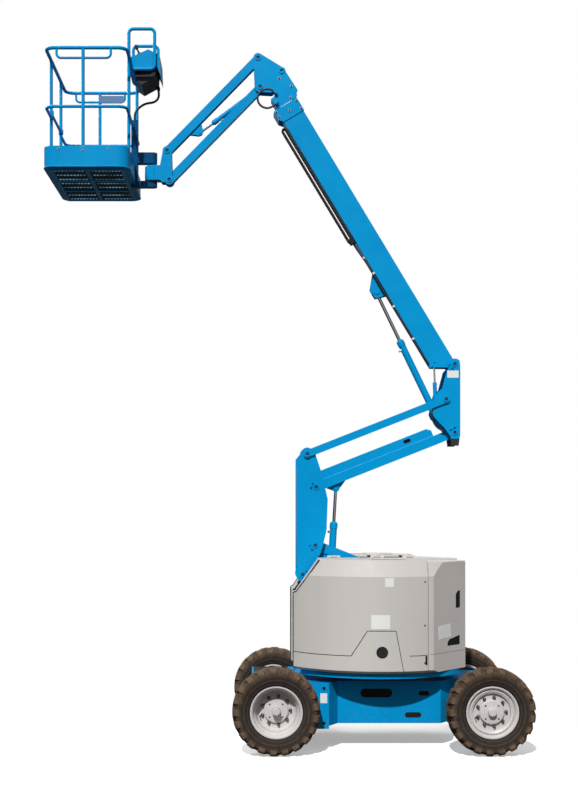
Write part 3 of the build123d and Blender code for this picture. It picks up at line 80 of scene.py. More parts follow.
class NodeGraph:
    """A material's node tree, with short methods that add and wire nodes."""

    def __init__(self, name: str) -> None:
        """Start an empty material with a Principled shader.

        Args:
            name: The material's name.
        """
        self.material = bpy.data.materials.new(name)
        self.material.use_nodes = True
        self.tree = self.material.node_tree
        self.shader = self.tree.nodes["Principled BSDF"]
        self.coords = self.tree.nodes.new("ShaderNodeTexCoord").outputs["Object"]

    def link(self, source: bpy.types.NodeSocket, target: bpy.types.NodeSocket) -> None:
        """Wire one socket into another."""
        self.tree.links.new(source, target)

    def noise(self, scale: float, detail: float = 4.0, rough: float = 0.55,
              stretch: Point = (1.0, 1.0, 1.0)) -> bpy.types.NodeSocket:
        """Add fractal noise over the object's own coordinates.

        Args:
            scale: Waves per metre.
            detail: Octaves.
            rough: How strong the fine octaves are.
            stretch: Factors on the three coordinates.

        Returns:
            The noise value, around 0.5.
        """
        mapping = self.tree.nodes.new("ShaderNodeMapping")
        mapping.inputs["Scale"].default_value = stretch
        self.link(self.coords, mapping.inputs["Vector"])
        node = self.tree.nodes.new("ShaderNodeTexNoise")
        node.inputs["Scale"].default_value = scale
        node.inputs["Detail"].default_value = detail
        node.inputs["Roughness"].default_value = rough
        self.link(mapping.outputs["Vector"], node.inputs["Vector"])
        return node.outputs["Fac"]

    def ramp(self, value: bpy.types.NodeSocket, low: float, high: float,
             start: float = 0.0, end: float = 1.0) -> bpy.types.NodeSocket:
        """Map a value from low..high to start..end, held at both ends."""
        node = self.tree.nodes.new("ShaderNodeMapRange")
        for name, number in (("From Min", low), ("From Max", high), ("To Min", start), ("To Max", end)):
            node.inputs[name].default_value = number
        self.link(value, node.inputs["Value"])
        return node.outputs["Result"]

    def math(self, operation: str, first: bpy.types.NodeSocket,
             second: bpy.types.NodeSocket | float) -> bpy.types.NodeSocket:
        """Combine two values by one operation of the Math node."""
        node = self.tree.nodes.new("ShaderNodeMath")
        node.operation = operation
        self.link(first, node.inputs[0])
        if isinstance(second, (int, float)):
            node.inputs[1].default_value = second
        else:
            self.link(second, node.inputs[1])
        return node.outputs["Value"]

    def mix(self, factor: bpy.types.NodeSocket, first: RGB | bpy.types.NodeSocket,
            second: RGB | bpy.types.NodeSocket) -> bpy.types.NodeSocket:
        """Blend two colours by a factor."""
        node = self.tree.nodes.new("ShaderNodeMix")
        node.data_type = "RGBA"
        self.link(factor, node.inputs["Factor"])
        for socket, value in ((node.inputs[6], first), (node.inputs[7], second)):
            if isinstance(value, tuple):
                socket.default_value = (*value, 1.0)
            else:
                self.link(value, socket)
        return node.outputs[2]

    def axis(self, index: int) -> bpy.types.NodeSocket:
        """Return one of the object coordinates, 0 to 2 for X to Z."""
        node = self.tree.nodes.new("ShaderNodeSeparateXYZ")
        self.link(self.coords, node.inputs["Vector"])
        return node.outputs[index]

    def bump(self, height: bpy.types.NodeSocket, distance: float, strength: float = 1.0) -> None:
        """Raise the surface by a height field.

        Args:
            height: The field, from 0 to 1.
            distance: Height of 1, in metres.
            strength: How much of it shows.
        """
        node = self.tree.nodes.new("ShaderNodeBump")
        node.inputs["Distance"].default_value = distance
        node.inputs["Strength"].default_value = strength
        self.link(height, node.inputs["Height"])
        self.link(node.outputs["Normal"], self.shader.inputs["Normal"])

    def fix(self, name: str, value: float | tuple[float, ...]) -> None:
        """Set one of the shader's own sockets to a constant."""
        self.shader.inputs[name].default_value = value

    def colour(self, value: bpy.types.NodeSocket) -> None:
        """Wire a colour into the shader."""
        self.link(value, self.shader.inputs["Base Color"])

    def roughness(self, value: bpy.types.NodeSocket) -> None:
        """Wire a roughness into the shader."""
        self.link(value, self.shader.inputs["Roughness"])


@dataclass(frozen=True)
class Enamel:
    """Sprayed enamel: an even colour with faint clouds, orange peel and dust that settles low."""

    name: str
    base: RGB
    shade: RGB
    dust: RGB = (0.34, 0.33, 0.30)
    dusty_below: float = 0.5
    gloss: float = 0.34
    peel: float = 0.00012
    shine: float = 0.08

    def build(self) -> bpy.types.Material:
        """Make the material."""
        graph = NodeGraph(self.name)
        clouds = graph.ramp(graph.noise(2.6), 0.35, 0.68)
        paint = graph.mix(clouds, self.base, self.shade)
        low = graph.ramp(graph.axis(2), self.dusty_below, 0.15, 0.0, 0.22)
        patches = graph.ramp(graph.noise(34.0, 8.0, 0.7), 0.50, 0.80)
        graph.colour(graph.mix(graph.math("MULTIPLY", low, patches), paint, self.dust))
        graph.roughness(graph.ramp(graph.noise(9.0), 0.3, 0.75, self.gloss - 0.05, self.gloss + 0.12))
        graph.bump(graph.noise(420.0, 2.0), self.peel, 0.5)
        graph.fix("Specular IOR Level", self.shine)
        return graph.material


@dataclass(frozen=True)
class MouldedPlastic:
    """Moulded plastic with a fine grain, faint streaks and scattered scuffs."""

    name: str
    base: RGB
    scuff: RGB
    rough: float = 0.52

    def build(self) -> bpy.types.Material:
        """Make the material."""
        graph = NodeGraph(self.name)
        streaks = graph.ramp(graph.noise(3.0, 5.0, 0.5, (1.0, 1.0, 0.25)), 0.35, 0.72)
        body = graph.mix(streaks, self.base, scaled(self.base, 0.93))
        marks = graph.ramp(graph.noise(26.0, 6.0, 0.7), 0.60, 0.80, 0.0, 0.55)
        graph.colour(graph.mix(marks, body, self.scuff))
        graph.roughness(graph.ramp(graph.noise(14.0), 0.3, 0.7, self.rough - 0.06, self.rough + 0.1))
        graph.fix("Specular IOR Level", 0.25)
        graph.bump(graph.noise(900.0, 3.0, 0.6), 0.0002, 0.5)
        return graph.material


@dataclass(frozen=True)
class Daylight:
    """Painted light: a glow that stands for the sky seen through the small holes of the punched floor, a
    little uneven.
    """

    name: str
    sky: RGB = (0.16, 0.42, 0.62)
    strength: float = 0.55

    def build(self) -> bpy.types.Material:
        """Make the material."""
        graph = NodeGraph(self.name)
        graph.colour(graph.mix(graph.noise(30.0), self.sky, scaled(self.sky, 0.6)))
        graph.fix("Emission Color", (*self.sky, 1.0))
        patches = graph.ramp(graph.noise(9.0, 3.0), 0.38, 0.62, 0.15 * self.strength, self.strength)
        graph.link(patches, graph.shader.inputs["Emission Strength"])
        return graph.material


@dataclass(frozen=True)
class BareMetal:
    """Machined or plated metal with fine drawn lines."""

    name: str
    base: RGB
    rough: float = 0.2
    lines: float = 260.0
    tarnish: float = 0.82

    def build(self) -> bpy.types.Material:
        """Make the material."""
        graph = NodeGraph(self.name)
        graph.fix("Metallic", 1.0)
        clouds = graph.ramp(graph.noise(7.0, 5.0), 0.35, 0.7)
        graph.colour(graph.mix(clouds, self.base, scaled(self.base, self.tarnish)))
        drawn = graph.noise(self.lines, 2.0)
        graph.roughness(graph.ramp(drawn, 0.3, 0.7, self.rough * 0.8, self.rough * 1.3))
        graph.bump(drawn, 0.00004, 0.4)
        return graph.material


@dataclass(frozen=True)
class DustyRubber:
    """Black rubber with dry mud on what stands out and a scuffed face."""

    name: str
    base: RGB = (0.017, 0.0135, 0.0125)
    mud: RGB = (0.135, 0.086, 0.052)
    rough: float = 0.86

    def build(self) -> bpy.types.Material:
        """Make the material."""
        graph = NodeGraph(self.name)
        worn = graph.ramp(graph.noise(16.0, 6.0, 0.6), 0.35, 0.7)
        rubber = graph.mix(worn, self.base, scaled(self.base, 1.6))
        attribute = graph.tree.nodes.new("ShaderNodeAttribute")
        attribute.attribute_name = "mud"
        patches = graph.ramp(graph.noise(22.0, 7.0, 0.7), 0.30, 0.62, 0.25, 1.0)
        dirty = graph.math("MULTIPLY", patches, attribute.outputs["Fac"])
        graph.colour(graph.mix(dirty, rubber, self.mud))
        graph.fix("Roughness", self.rough)
        graph.fix("Specular IOR Level", 0.18)
        graph.bump(graph.noise(140.0, 6.0, 0.7), 0.0012, 0.6)
        return graph.material


@dataclass(frozen=True)
class HoseRubber:
    """Black hose cover: satin, with a faint cloth print and grey dust."""

    name: str
    base: RGB = (0.012, 0.012, 0.013)
    dust: RGB = (0.035, 0.035, 0.036)

    def build(self) -> bpy.types.Material:
        """Make the material."""
        graph = NodeGraph(self.name)
        patches = graph.ramp(graph.noise(18.0, 5.0), 0.45, 0.8, 0.0, 0.4)
        graph.colour(graph.mix(patches, self.base, self.dust))
        graph.roughness(graph.ramp(graph.noise(30.0), 0.3, 0.7, 0.38, 0.55))
        graph.bump(graph.noise(700.0, 2.0), 0.0003, 0.6)
        return graph.material


@dataclass(frozen=True)
class Studio:
    """The floor: plain and dim to the light, and to the camera pale with the object's shadow on it.

    Away from the object it turns white: with d = |(x / a, (y - c) / b)|, the white starts at d = 0.62
    and is full at d = 1.
    """

    name: str
    pale: float = 0.86
    dim: float = 0.05
    spread: tuple[float, float] = (2.9, 2.0)
    centre_y: float = -0.9

    def build(self) -> bpy.types.Material:
        """Make the material."""
        graph = NodeGraph(self.name)
        nodes, links = graph.tree.nodes, graph.tree.links
        graph.fix("Roughness", 0.95)
        graph.fix("Specular IOR Level", 0.0)
        rays = nodes.new("ShaderNodeLightPath")
        seen = graph.math("MAXIMUM", rays.outputs["Is Camera Ray"], rays.outputs["Is Transmission Ray"])
        graph.colour(graph.mix(seen, (self.dim,) * 3, (self.pale,) * 3))
        graph.fix("Emission Color", (1.0, 1.0, 1.0, 1.0))
        graph.link(graph.ramp(seen, 0.0, 1.0, 0.0, 0.36), graph.shader.inputs["Emission Strength"])
        x = graph.math("MULTIPLY", graph.axis(0), 1.0 / self.spread[0])
        y = graph.math("MULTIPLY", graph.math("ADD", graph.axis(1), -self.centre_y), 1.0 / self.spread[1])
        square = graph.math("ADD", graph.math("MULTIPLY", x, x), graph.math("MULTIPLY", y, y))
        far = graph.math("MULTIPLY", graph.ramp(graph.math("POWER", square, 0.5), 0.62, 1.0), seen)
        white = nodes.new("ShaderNodeEmission")
        blend = nodes.new("ShaderNodeMixShader")
        links.new(far, blend.inputs["Fac"])
        links.new(graph.shader.outputs["BSDF"], blend.inputs[1])
        links.new(white.outputs["Emission"], blend.inputs[2])
        links.new(blend.outputs["Shader"], nodes["Material Output"].inputs["Surface"])
        return graph.material


BLUE_BASE: RGB = (0.0, 0.272, 0.575)
PAINT = Enamel("blue_enamel", BLUE_BASE, (0.0, 0.240, 0.530), (0.16, 0.26, 0.34)).build()
# Painted shade: the mast's blue, darkened to stand for the shadow that the mast stands in.
MAST_PAINTED_SHADE = Enamel("mast_painted_shade", (0.0, 0.060, 0.160), (0.0, 0.050, 0.135), (0.05, 0.08, 0.12)).build()
# Painted light: the glow on the floor's rims that stands for daylight through its holes.
PAINTED_DAYLIGHT = Daylight("daylight").build()
SIGN_PLATE = MouldedPlastic("sign_plate", (0.10, 0.19, 0.33), (0.20, 0.19, 0.24), 0.4).build()
DARK_STEEL = Enamel("dark_steel", (0.020, 0.022, 0.026), (0.034, 0.036, 0.040), gloss=0.5).build()
RIM_PAINT = Enamel("silver_rim", (0.56, 0.53, 0.52), (0.47, 0.445, 0.435), dust=(0.30, 0.24, 0.19),
                   dusty_below=1.6, gloss=0.42, shine=0.4).build()
CAST_GREY = Enamel("grey_casting", (0.54, 0.505, 0.485), (0.51, 0.477, 0.455), gloss=0.5, peel=0.0004).build()
COVER_GREY = MouldedPlastic("cover_plastic", (0.51, 0.483, 0.456), (0.44, 0.415, 0.39)).build()
BLACK_PLASTIC = MouldedPlastic("black_plastic", (0.014, 0.014, 0.016), (0.035, 0.035, 0.036), 0.5).build()
CHAIN_BLACK = MouldedPlastic("chain_black", (0.007, 0.007, 0.008), (0.02, 0.02, 0.02), 0.6).build()
WHITE_LABEL = MouldedPlastic("white_label", (0.72, 0.72, 0.71), (0.62, 0.62, 0.61), 0.35).build()
CHROME = BareMetal("chrome_rod", (0.78, 0.78, 0.80), 0.12).build()
ZINC = BareMetal("zinc_fastener", (0.60, 0.59, 0.56), 0.36, 180.0).build()
IRON = Enamel("engine_iron", (0.05, 0.05, 0.052), (0.08, 0.08, 0.08), gloss=0.6).build()
TYRE = DustyRubber("tyre_rubber").build()
HOSE = HoseRubber("hose_rubber").build()
RUBBER_SEAL = HoseRubber("seal_rubber", (0.010, 0.010, 0.011), (0.05, 0.05, 0.05)).build()
SHADOW_BLACK = MouldedPlastic("shadow_black", (0.006, 0.006, 0.007), (0.02, 0.02, 0.02), 0.7).build()
NUT = BareMetal("dark_fastener", (0.16, 0.155, 0.15), 0.42, 150.0).build()
PALE_PLASTIC = MouldedPlastic("pale_plastic", (0.60, 0.59, 0.56), (0.45, 0.44, 0.42), 0.5).build()
STOP_RED = MouldedPlastic("stop_red", (0.45, 0.02, 0.015), (0.30, 0.02, 0.015), 0.3).build()
GUARD_PAINT = Enamel("black_tube", (0.012, 0.013, 0.016), (0.02, 0.02, 0.024), gloss=0.35).build()

SLOT_MATERIALS: dict[str, bpy.types.Material] = {
    "blue_paint": PAINT,
    "grey_plastic": COVER_GREY,
    "grey_casting": CAST_GREY,
    "dark_steel": DARK_STEEL,
    "iron": IRON,
    "rubber": HOSE,
    "black_plastic": BLACK_PLASTIC,
    "hose_rubber": HOSE,
    "chrome": CHROME,
    "tyre": TYRE,
    "rim_paint": RIM_PAINT,
}
# The mast takes the blue darkened as painted shade.
NODE_MATERIALS: dict[str, bpy.types.Material] = {"bulkheads": COVER_GREY, "platform_support": MAST_PAINTED_SHADE}


def dress_nodes() -> None:
    """Give every CAD node the material of its slot."""
    slots = {part["node"]: part["material_slot"] for part in frame["record"]["subparts"]}
    for name, node in NODES.items():
        material = NODE_MATERIALS.get(name, SLOT_MATERIALS[slots[name]])
        if not node.material_slots:
            node.data.materials.append(material)
        for slot in node.material_slots:
            slot.material = material


# ---------------------------------------------------------------- shapes
@dataclass(frozen=True)
class Basis:
    """An origin with three axes at right angles, which a shape is set on."""

    origin: Point
    x: Point = (1.0, 0.0, 0.0)
    y: Point = (0.0, 1.0, 0.0)
    z: Point = (0.0, 0.0, 1.0)

    def apply(self, points: np.ndarray) -> np.ndarray:
        """Return points given on the axes as points of the machine."""
        return points @ np.array([self.x, self.y, self.z], float) + np.array(self.origin, float)

    def facing(self, normal: Point, up: Point = (0.0, 0.0, 1.0)) -> "Basis":
        """Return a basis here whose Z looks along a normal and whose X is level with an up direction."""
        z = np.array(normal, float) / np.linalg.norm(normal)
        x = np.cross(np.array(up, float), z)
        x /= np.linalg.norm(x)
        return Basis(self.origin, tuple(x), tuple(np.cross(z, x)), tuple(z))


def outside(place: Point, side: Side) -> Basis:
    """Return a basis at a place on a face that looks to one side."""
    return Basis(place).facing(side.normal)


@dataclass(frozen=True)
class Shape:
    """A closed surface: its vertices, and its faces as arrays of vertex numbers."""

    points: np.ndarray
    faces: tuple[np.ndarray, ...]

    @staticmethod
    def skin(front: np.ndarray, back: np.ndarray) -> "Shape":
        """Close the space between two grids of points of the same size.

        Args:
            front: Points of one face, rows by columns by 3.
            back: Points of the other face.

        Returns:
            The closed shape.
        """
        rows, columns = front.shape[:2]
        count = rows * columns
        index = np.arange(count).reshape(rows, columns)
        quads = np.stack([index[:-1, :-1], index[1:, :-1], index[1:, 1:], index[:-1, 1:]], axis=-1)
        quads = quads.reshape(-1, 4)
        rim = np.concatenate([index[0, :-1], index[:-1, -1], index[-1, :0:-1], index[:0:-1, 0]])
        after = np.roll(rim, -1)
        walls = np.stack([rim, after, after + count, rim + count], axis=-1)
        points = np.concatenate([front.reshape(-1, 3), back.reshape(-1, 3)])
        return Shape(points, (quads, quads[:, ::-1] + count, walls))

    @staticmethod
    def rings(loops: np.ndarray) -> "Shape":
        """Join closed loops of points in a row, with a flat cap on each end.

        Args:
            loops: Loops by points by 3.

        Returns:
            The closed shape.
        """
        count, around = loops.shape[:2]
        index = np.arange(count * around).reshape(count, around)
        ahead = np.roll(index, -1, axis=1)
        sides = np.stack([index[:-1], ahead[:-1], ahead[1:], index[1:]], axis=-1).reshape(-1, 4)
        return Shape(loops.reshape(-1, 3), (sides, index[:1, ::-1], index[-1:]))

    @staticmethod
    def lathe(profile: Sequence[tuple[float, float]], sides: int = 24) -> "Shape":
        """Turn a profile of heights and radii about Z: (r cos a, r sin a, h)."""
        rows = np.array(profile, float)
        angle = np.linspace(0.0, 2.0 * np.pi, sides, endpoint=False)
        radius = rows[:, 1:2]
        height = np.repeat(rows[:, :1], sides, axis=1)
        return Shape.rings(np.stack([radius * np.cos(angle), radius * np.sin(angle), height], axis=-1))

    @staticmethod
    def prism(outline: Sequence[tuple[float, float]], low: float, high: float,
              bevel: float = 0.001) -> "Shape":
        """Raise an outline, given anticlockwise, along Z with its edges broken.

        Each corner moves in by the bevel along the mitre of its two sides.

        Args:
            outline: X and Y of the corners.
            low: Height of the foot.
            high: Height of the top.
            bevel: How far the edges are broken.

        Returns:
            The closed shape.
        """
        corners = np.array(outline, float)
        before = corners - np.roll(corners, 1, axis=0)
        after = np.roll(corners, -1, axis=0) - corners
        before /= np.linalg.norm(before, axis=1, keepdims=True)
        after /= np.linalg.norm(after, axis=1, keepdims=True)
        inward = np.stack([-before[:, 1] - after[:, 1], before[:, 0] + after[:, 0]], axis=-1)
        inward /= np.maximum(1.0 + np.sum(before * after, axis=1, keepdims=True), 0.3)
        small = corners + bevel * inward
        levels = ((small, low), (corners, low + bevel), (corners, high - bevel), (small, high))
        loops = np.stack([np.column_stack([ring, np.full(len(ring), level)]) for ring, level in levels])
        return Shape.rings(loops)

    @staticmethod
    def block(size: Point, bevel: float = 0.002, centre: Point = (0.0, 0.0, 0.0)) -> "Shape":
        """A block with broken edges, about a centre."""
        half = [part / 2 for part in size]
        outline = [(-half[0], -half[1]), (half[0], -half[1]), (half[0], half[1]), (-half[0], half[1])]
        raised = Shape.prism(outline, -half[2], half[2], bevel)
        return Shape(raised.points + np.array(centre), raised.faces)

    @staticmethod
    def tube(path: Sequence[Point], radius: float, sides: int = 12) -> "Shape":
        """Sweep a circle along a path, each ring square to the path there."""
        line = np.array(path, float)
        ahead = np.gradient(line, axis=0)
        ahead /= np.linalg.norm(ahead, axis=1, keepdims=True)
        guide = np.array([0.0, 1.0, 0.0]) if abs(ahead[0, 1]) < 0.8 else np.array([0.0, 0.0, 1.0])
        across = np.cross(ahead, guide)
        across /= np.linalg.norm(across, axis=1, keepdims=True)
        up = np.cross(ahead, across)
        angle = np.linspace(0.0, 2.0 * np.pi, sides, endpoint=False)[None, :, None]
        loops = line[:, None] + radius * (np.cos(angle) * across[:, None] + np.sin(angle) * up[:, None])
        return Shape.rings(loops)

    @staticmethod
    def joined(shapes: Sequence["Shape"]) -> "Shape":
        """Put several shapes into one."""
        starts = np.cumsum([0] + [len(shape.points) for shape in shapes[:-1]])
        faces = tuple(face + start for shape, start in zip(shapes, starts) for face in shape.faces)
        return Shape(np.concatenate([shape.points for shape in shapes]), faces)

    def on(self, *bases: Basis) -> "Shape":
        """Return a copy of the shape on each basis, all in one."""
        return Shape.joined([Shape(basis.apply(self.points), self.faces) for basis in bases])

    def piece(self, name: str, material: bpy.types.Material, body: str, slot: Optional[str] = None,
              replaces: Sequence[str] = (), angle: float = 38.0) -> bpy.types.Object:
        """Make the shape an object that rides on a body.

        Args:
            name: The object's name.
            material: Its finish.
            body: The CAD body it moves with.
            slot: The record's material slot, where it has one; not used.
            replaces: CAD nodes that it stands for.
            angle: Edges sharper than this many degrees stay crisp.

        Returns:
            The object.
        """
        mesh = bpy.data.meshes.new(name)
        mesh.from_pydata(self.points.tolist(), [], [loop for face in self.faces for loop in face.tolist()])
        tidy = bmesh.new()
        tidy.from_mesh(mesh)
        bmesh.ops.recalc_face_normals(tidy, faces=tidy.faces)
        tidy.to_mesh(mesh)
        tidy.free()
        mesh.shade_smooth()
        mesh.set_sharp_from_angle(angle=math.radians(angle))
        mesh.materials.append(material)
        item = bpy.data.objects.new(name, mesh)
        bpy.context.collection.objects.link(item)
        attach(item, body)
        if replaces:
            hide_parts(*replaces)
        log.info("%s: %d faces", name, len(mesh.polygons))
        return item


def hexagon(width: float) -> list[tuple[float, float]]:
    """Corners of a hexagon by its width across the corners."""
    angles = [math.radians(60 * k) for k in range(6)]
    return [(width / 2 * math.cos(a), width / 2 * math.sin(a)) for a in angles]


def stadium(half: float, radius: float, steps: int) -> list[tuple[float, float]]:
    """Corners of a slot with round ends, anticlockwise: half circles about X = half and X = -half."""
    turn = np.linspace(-0.5 * np.pi, 0.5 * np.pi, steps)
    right = [(half + radius * math.cos(a), radius * math.sin(a)) for a in turn]
    return right + [(-x, -y) for x, y in right]


def bolt(width: float = 0.022, height: float = 0.010) -> Shape:
    """A hexagon bolt head with a chamfered top on its washer, standing on Z = 0."""
    washer = Shape.lathe([(0.0, width * 0.62), (0.002, width * 0.64), (0.003, width * 0.60)])
    tip = Shape.lathe([(height - 0.002, width * 0.42), (height, width * 0.36)])
    return Shape.joined([washer, Shape.prism(hexagon(width), 0.002, height, 0.0015), tip])


# ---------------------------------------------------------------- the machine's lines
@dataclass(frozen=True)
class Line2:
    """A member that leans in the XZ plane: its start, and its angle above +X."""

    start: tuple[float, float]
    degrees: float

    def point(self, along: float, across: float, y: float = 0.0) -> Point:
        """Return the point so far along the member and across it to the left, at a Y."""
        angle = math.radians(self.degrees)
        return (
            self.start[0] + along * math.cos(angle) - across * math.sin(angle), y,
            self.start[1] + along * math.sin(angle) + across * math.cos(angle),
        )

    def basis(self, along: float, across: float, y: float) -> Basis:
        """Return a basis there: X along, Y across, Z towards the near side."""
        angle = math.radians(self.degrees)
        x = (math.cos(angle), 0.0, math.sin(angle))
        return Basis(self.point(along, across, y), x, (-x[2], 0.0, x[0]), (0.0, -1.0, 0.0))

    def standing(self, along: float, across: float, y: float) -> Basis:
        """Return a basis there: X along, Y to the near side, Z across."""
        angle = math.radians(self.degrees)
        x = (math.cos(angle), 0.0, math.sin(angle))
        return Basis(self.point(along, across, y), x, (0.0, -1.0, 0.0), (-x[2], 0.0, x[0]))


BOOM = Line2((0.722, 3.490611), 121.05)
UPPER_ARM = Line2((-0.558255, 2.354306), 21.5)
LOWER_ARM = Line2((-0.566255, 1.815306), -21.5)
JIB_UPPER = Line2((-1.095, 6.347), -134.33)


# ---------------------------------------------------------------- wheels
@dataclass(frozen=True)
class Wheel:
    """One tyre with its lugs and side wall, and the small parts of its rim."""

    name: str
    centre: Point
    side: Side
    face: float
    radius: float = 0.385
    bore: float = 0.206
    lug_height: float = 0.017
    lug_fade: tuple[float, float] = (0.322, 0.352)
    lugs: int = 21
    around: int = 756
    stud_circle: float = 0.127
    studs: int = 9

    def profile(self, samples: int = 64) -> tuple[np.ndarray, np.ndarray]:
        """Return the side wall and crown from bead to bead: widths and radii."""
        half = [
            (0.093, 0.213), (0.104, 0.230), (0.113, 0.246), (0.122, 0.268), (0.129, 0.295), (0.1305, 0.318),
            (0.1290, 0.338), (0.1215, 0.352), (0.106, 0.3605), (0.080, 0.3655), (0.040, 0.3675), (0.0, 0.368),
        ]
        knots = np.array([(-w, r) for w, r in half] + [(w, r) for w, r in half[-2::-1]])
        length = np.concatenate([[0.0], np.cumsum(np.linalg.norm(np.diff(knots, axis=0), axis=1))])
        at = np.linspace(0.0, length[-1], samples)
        return np.interp(at, length, knots[:, 0]), np.interp(at, length, knots[:, 1])

    def relief(self, width: np.ndarray, radius: np.ndarray,
               turn: np.ndarray) -> tuple[np.ndarray, np.ndarray]:
        """Return how far the surface stands out, and how dusty it is.

        A lug is a slanting bar from the shoulder past the middle: with p the place within a pitch,
        the bar is |p - 1/2 - slant(w)| < 0.31, its edges rounded by a smooth step. Its height fades
        down the side wall between the two radii of lug_fade. Low ribs and two rings lie on the side wall.

        Args:
            width: Place across the tyre.
            radius: Distance from the axle.
            turn: Angle around it.

        Returns:
            The relief in metres and the dust from 0 to 1.
        """
        def step(value: np.ndarray, low: float, high: float) -> np.ndarray:
            part = np.clip((value - low) / (high - low), 0.0, 1.0)
            return part * part * (3.0 - 2.0 * part)

        pitch = 2.0 * np.pi / self.lugs
        lug = np.zeros_like(turn)
        for row in (-1.0, 1.0):
            across = row * width
            slant = 0.30 * step(0.10 - across, 0.0, 0.12)
            place = ((turn / pitch + (row + 1.0) / 4.0) % 1.0) - 0.5 - slant
            place = np.abs((place + 0.5) % 1.0 - 0.5)
            lug = np.maximum(lug, step(0.31 - place, 0.0, 0.06) * step(across, -0.020, -0.006))
        height = self.lug_height * step(radius, *self.lug_fade)
        rib = 0.0011 * step(np.cos(turn * 168.0), 0.1, 0.7) * step(radius, 0.300, 0.306)
        rib = rib * step(0.330 - radius, 0.0, 0.006)
        rings = sum(0.0022 * np.exp(-(((radius - at) / 0.0022) ** 2)) for at in (0.2835, 0.2520))
        shoulder = step(radius, 0.300, 0.345)
        dust = np.clip(0.06 + 0.42 * shoulder + 0.55 * lug * shoulder + 220.0 * rings, 0.0, 1.0)
        return lug * height + rib + rings, dust

    def tyre(self) -> None:
        """Model the tyre in place of the CAD one."""
        width, radius = self.profile()
        turn = np.linspace(0.0, 2.0 * np.pi, self.around, endpoint=False)
        width2, turn2 = np.meshgrid(width, turn, indexing="ij")
        radius2 = np.repeat(radius[:, None], self.around, axis=1)
        relief, dust = self.relief(width2, radius2, turn2)
        slope = np.stack([np.gradient(width), np.gradient(radius)], axis=-1)
        slope /= np.linalg.norm(slope, axis=1, keepdims=True)
        out_width = width2 - relief * slope[:, 1:2]
        out_radius = np.minimum(radius2 + relief * slope[:, 0:1], self.radius)
        loops = np.stack([
            self.centre[0] + out_radius * np.cos(turn2), self.centre[1] + out_width,
            self.centre[2] + out_radius * np.sin(turn2),
        ], axis=-1)
        inner = loops[[-1, 0]].copy()
        centre = np.array([self.centre[0], 0.0, self.centre[2]])
        away = inner - centre
        away[..., 1] = 0.0
        away /= np.linalg.norm(away, axis=-1, keepdims=True)
        inner[..., 0] = centre[0] + self.bore * away[..., 0]
        inner[..., 2] = centre[2] + self.bore * away[..., 2]
        closed = np.concatenate([loops, inner, loops[:1]])
        count, around = closed.shape[:2]
        index = np.arange((count - 1) * around).reshape(count - 1, around)
        index = np.concatenate([index, index[:1]])
        ahead = np.roll(index, -1, axis=1)
        faces = np.stack([index[:-1], ahead[:-1], ahead[1:], index[1:]], axis=-1).reshape(-1, 4)
        shape = Shape(closed[:-1].reshape(-1, 3), (faces,))
        item = shape.piece(f"tread_{self.name}", TYRE, f"wheel_{self.name}", "tyre", [f"tyre_{self.name}"],
                           50.0)
        mud = item.data.attributes.new("mud", "FLOAT", "POINT")
        flat = np.concatenate([dust.ravel(), np.zeros(2 * around)])
        mud.data.foreach_set("value", flat.astype(np.float32))

    def outward(self, radius: float, degrees: float, depth: float) -> Basis:
        """Return a basis on the wheel's face at a polar place, its Z looking out along the axle."""
        angle = math.radians(degrees)
        x, z = (math.cos(angle), 0.0, math.sin(angle)), self.side.normal
        origin = (self.centre[0] + radius * x[0], self.centre[1] + self.side.value * depth,
                  self.centre[2] + radius * x[2])
        return Basis(origin, x, tuple(np.cross(z, x)), z)

    def fittings(self) -> None:
        """Add the wheel nuts on black discs of painted shade, the hub plate's screws and the valve."""
        body = f"wheel_{self.name}"
        steps = 360.0 / self.studs
        seats = [self.outward(self.stud_circle, steps * k, self.face) for k in range(self.studs)]
        # Painted shade: black discs behind the nuts stand for the shadow in the stud holes.
        shade_disc = Shape.lathe([(-0.001, 0.0160), (0.0012, 0.0160), (0.002, 0.0150)], 28)
        nut = Shape.joined([
            Shape.lathe([(0.001, 0.0135), (0.006, 0.0150), (0.008, 0.0130)], 24),
            Shape.prism(hexagon(0.0245), 0.006, 0.0225, 0.002),
            Shape.lathe([(0.020, 0.0085), (0.0275, 0.0080), (0.0285, 0.0065)], 20),
        ])
        shade_disc.on(*seats).piece(f"stud_seats_{self.name}", SHADOW_BLACK, body)
        nut.on(*seats).piece(f"wheel_nuts_{self.name}", NUT, body)
        screws = [self.outward(0.080, 45.0 + 90.0 * k, self.face + 0.0285) for k in range(4)]
        bolt(0.014, 0.006).on(*screws).piece(f"hub_screws_{self.name}", ZINC, body)
        stem = Shape.lathe([(0.0, 0.007), (0.006, 0.0065), (0.010, 0.004), (0.030, 0.0038), (0.031, 0.005),
                            (0.042, 0.005), (0.043, 0.004)], 16)
        stem.on(self.outward(0.150, 200.0, self.face)).piece(f"valve_{self.name}", NUT, body)

    def build(self) -> None:
        """Build the wheel."""
        self.tyre()
        self.fittings()


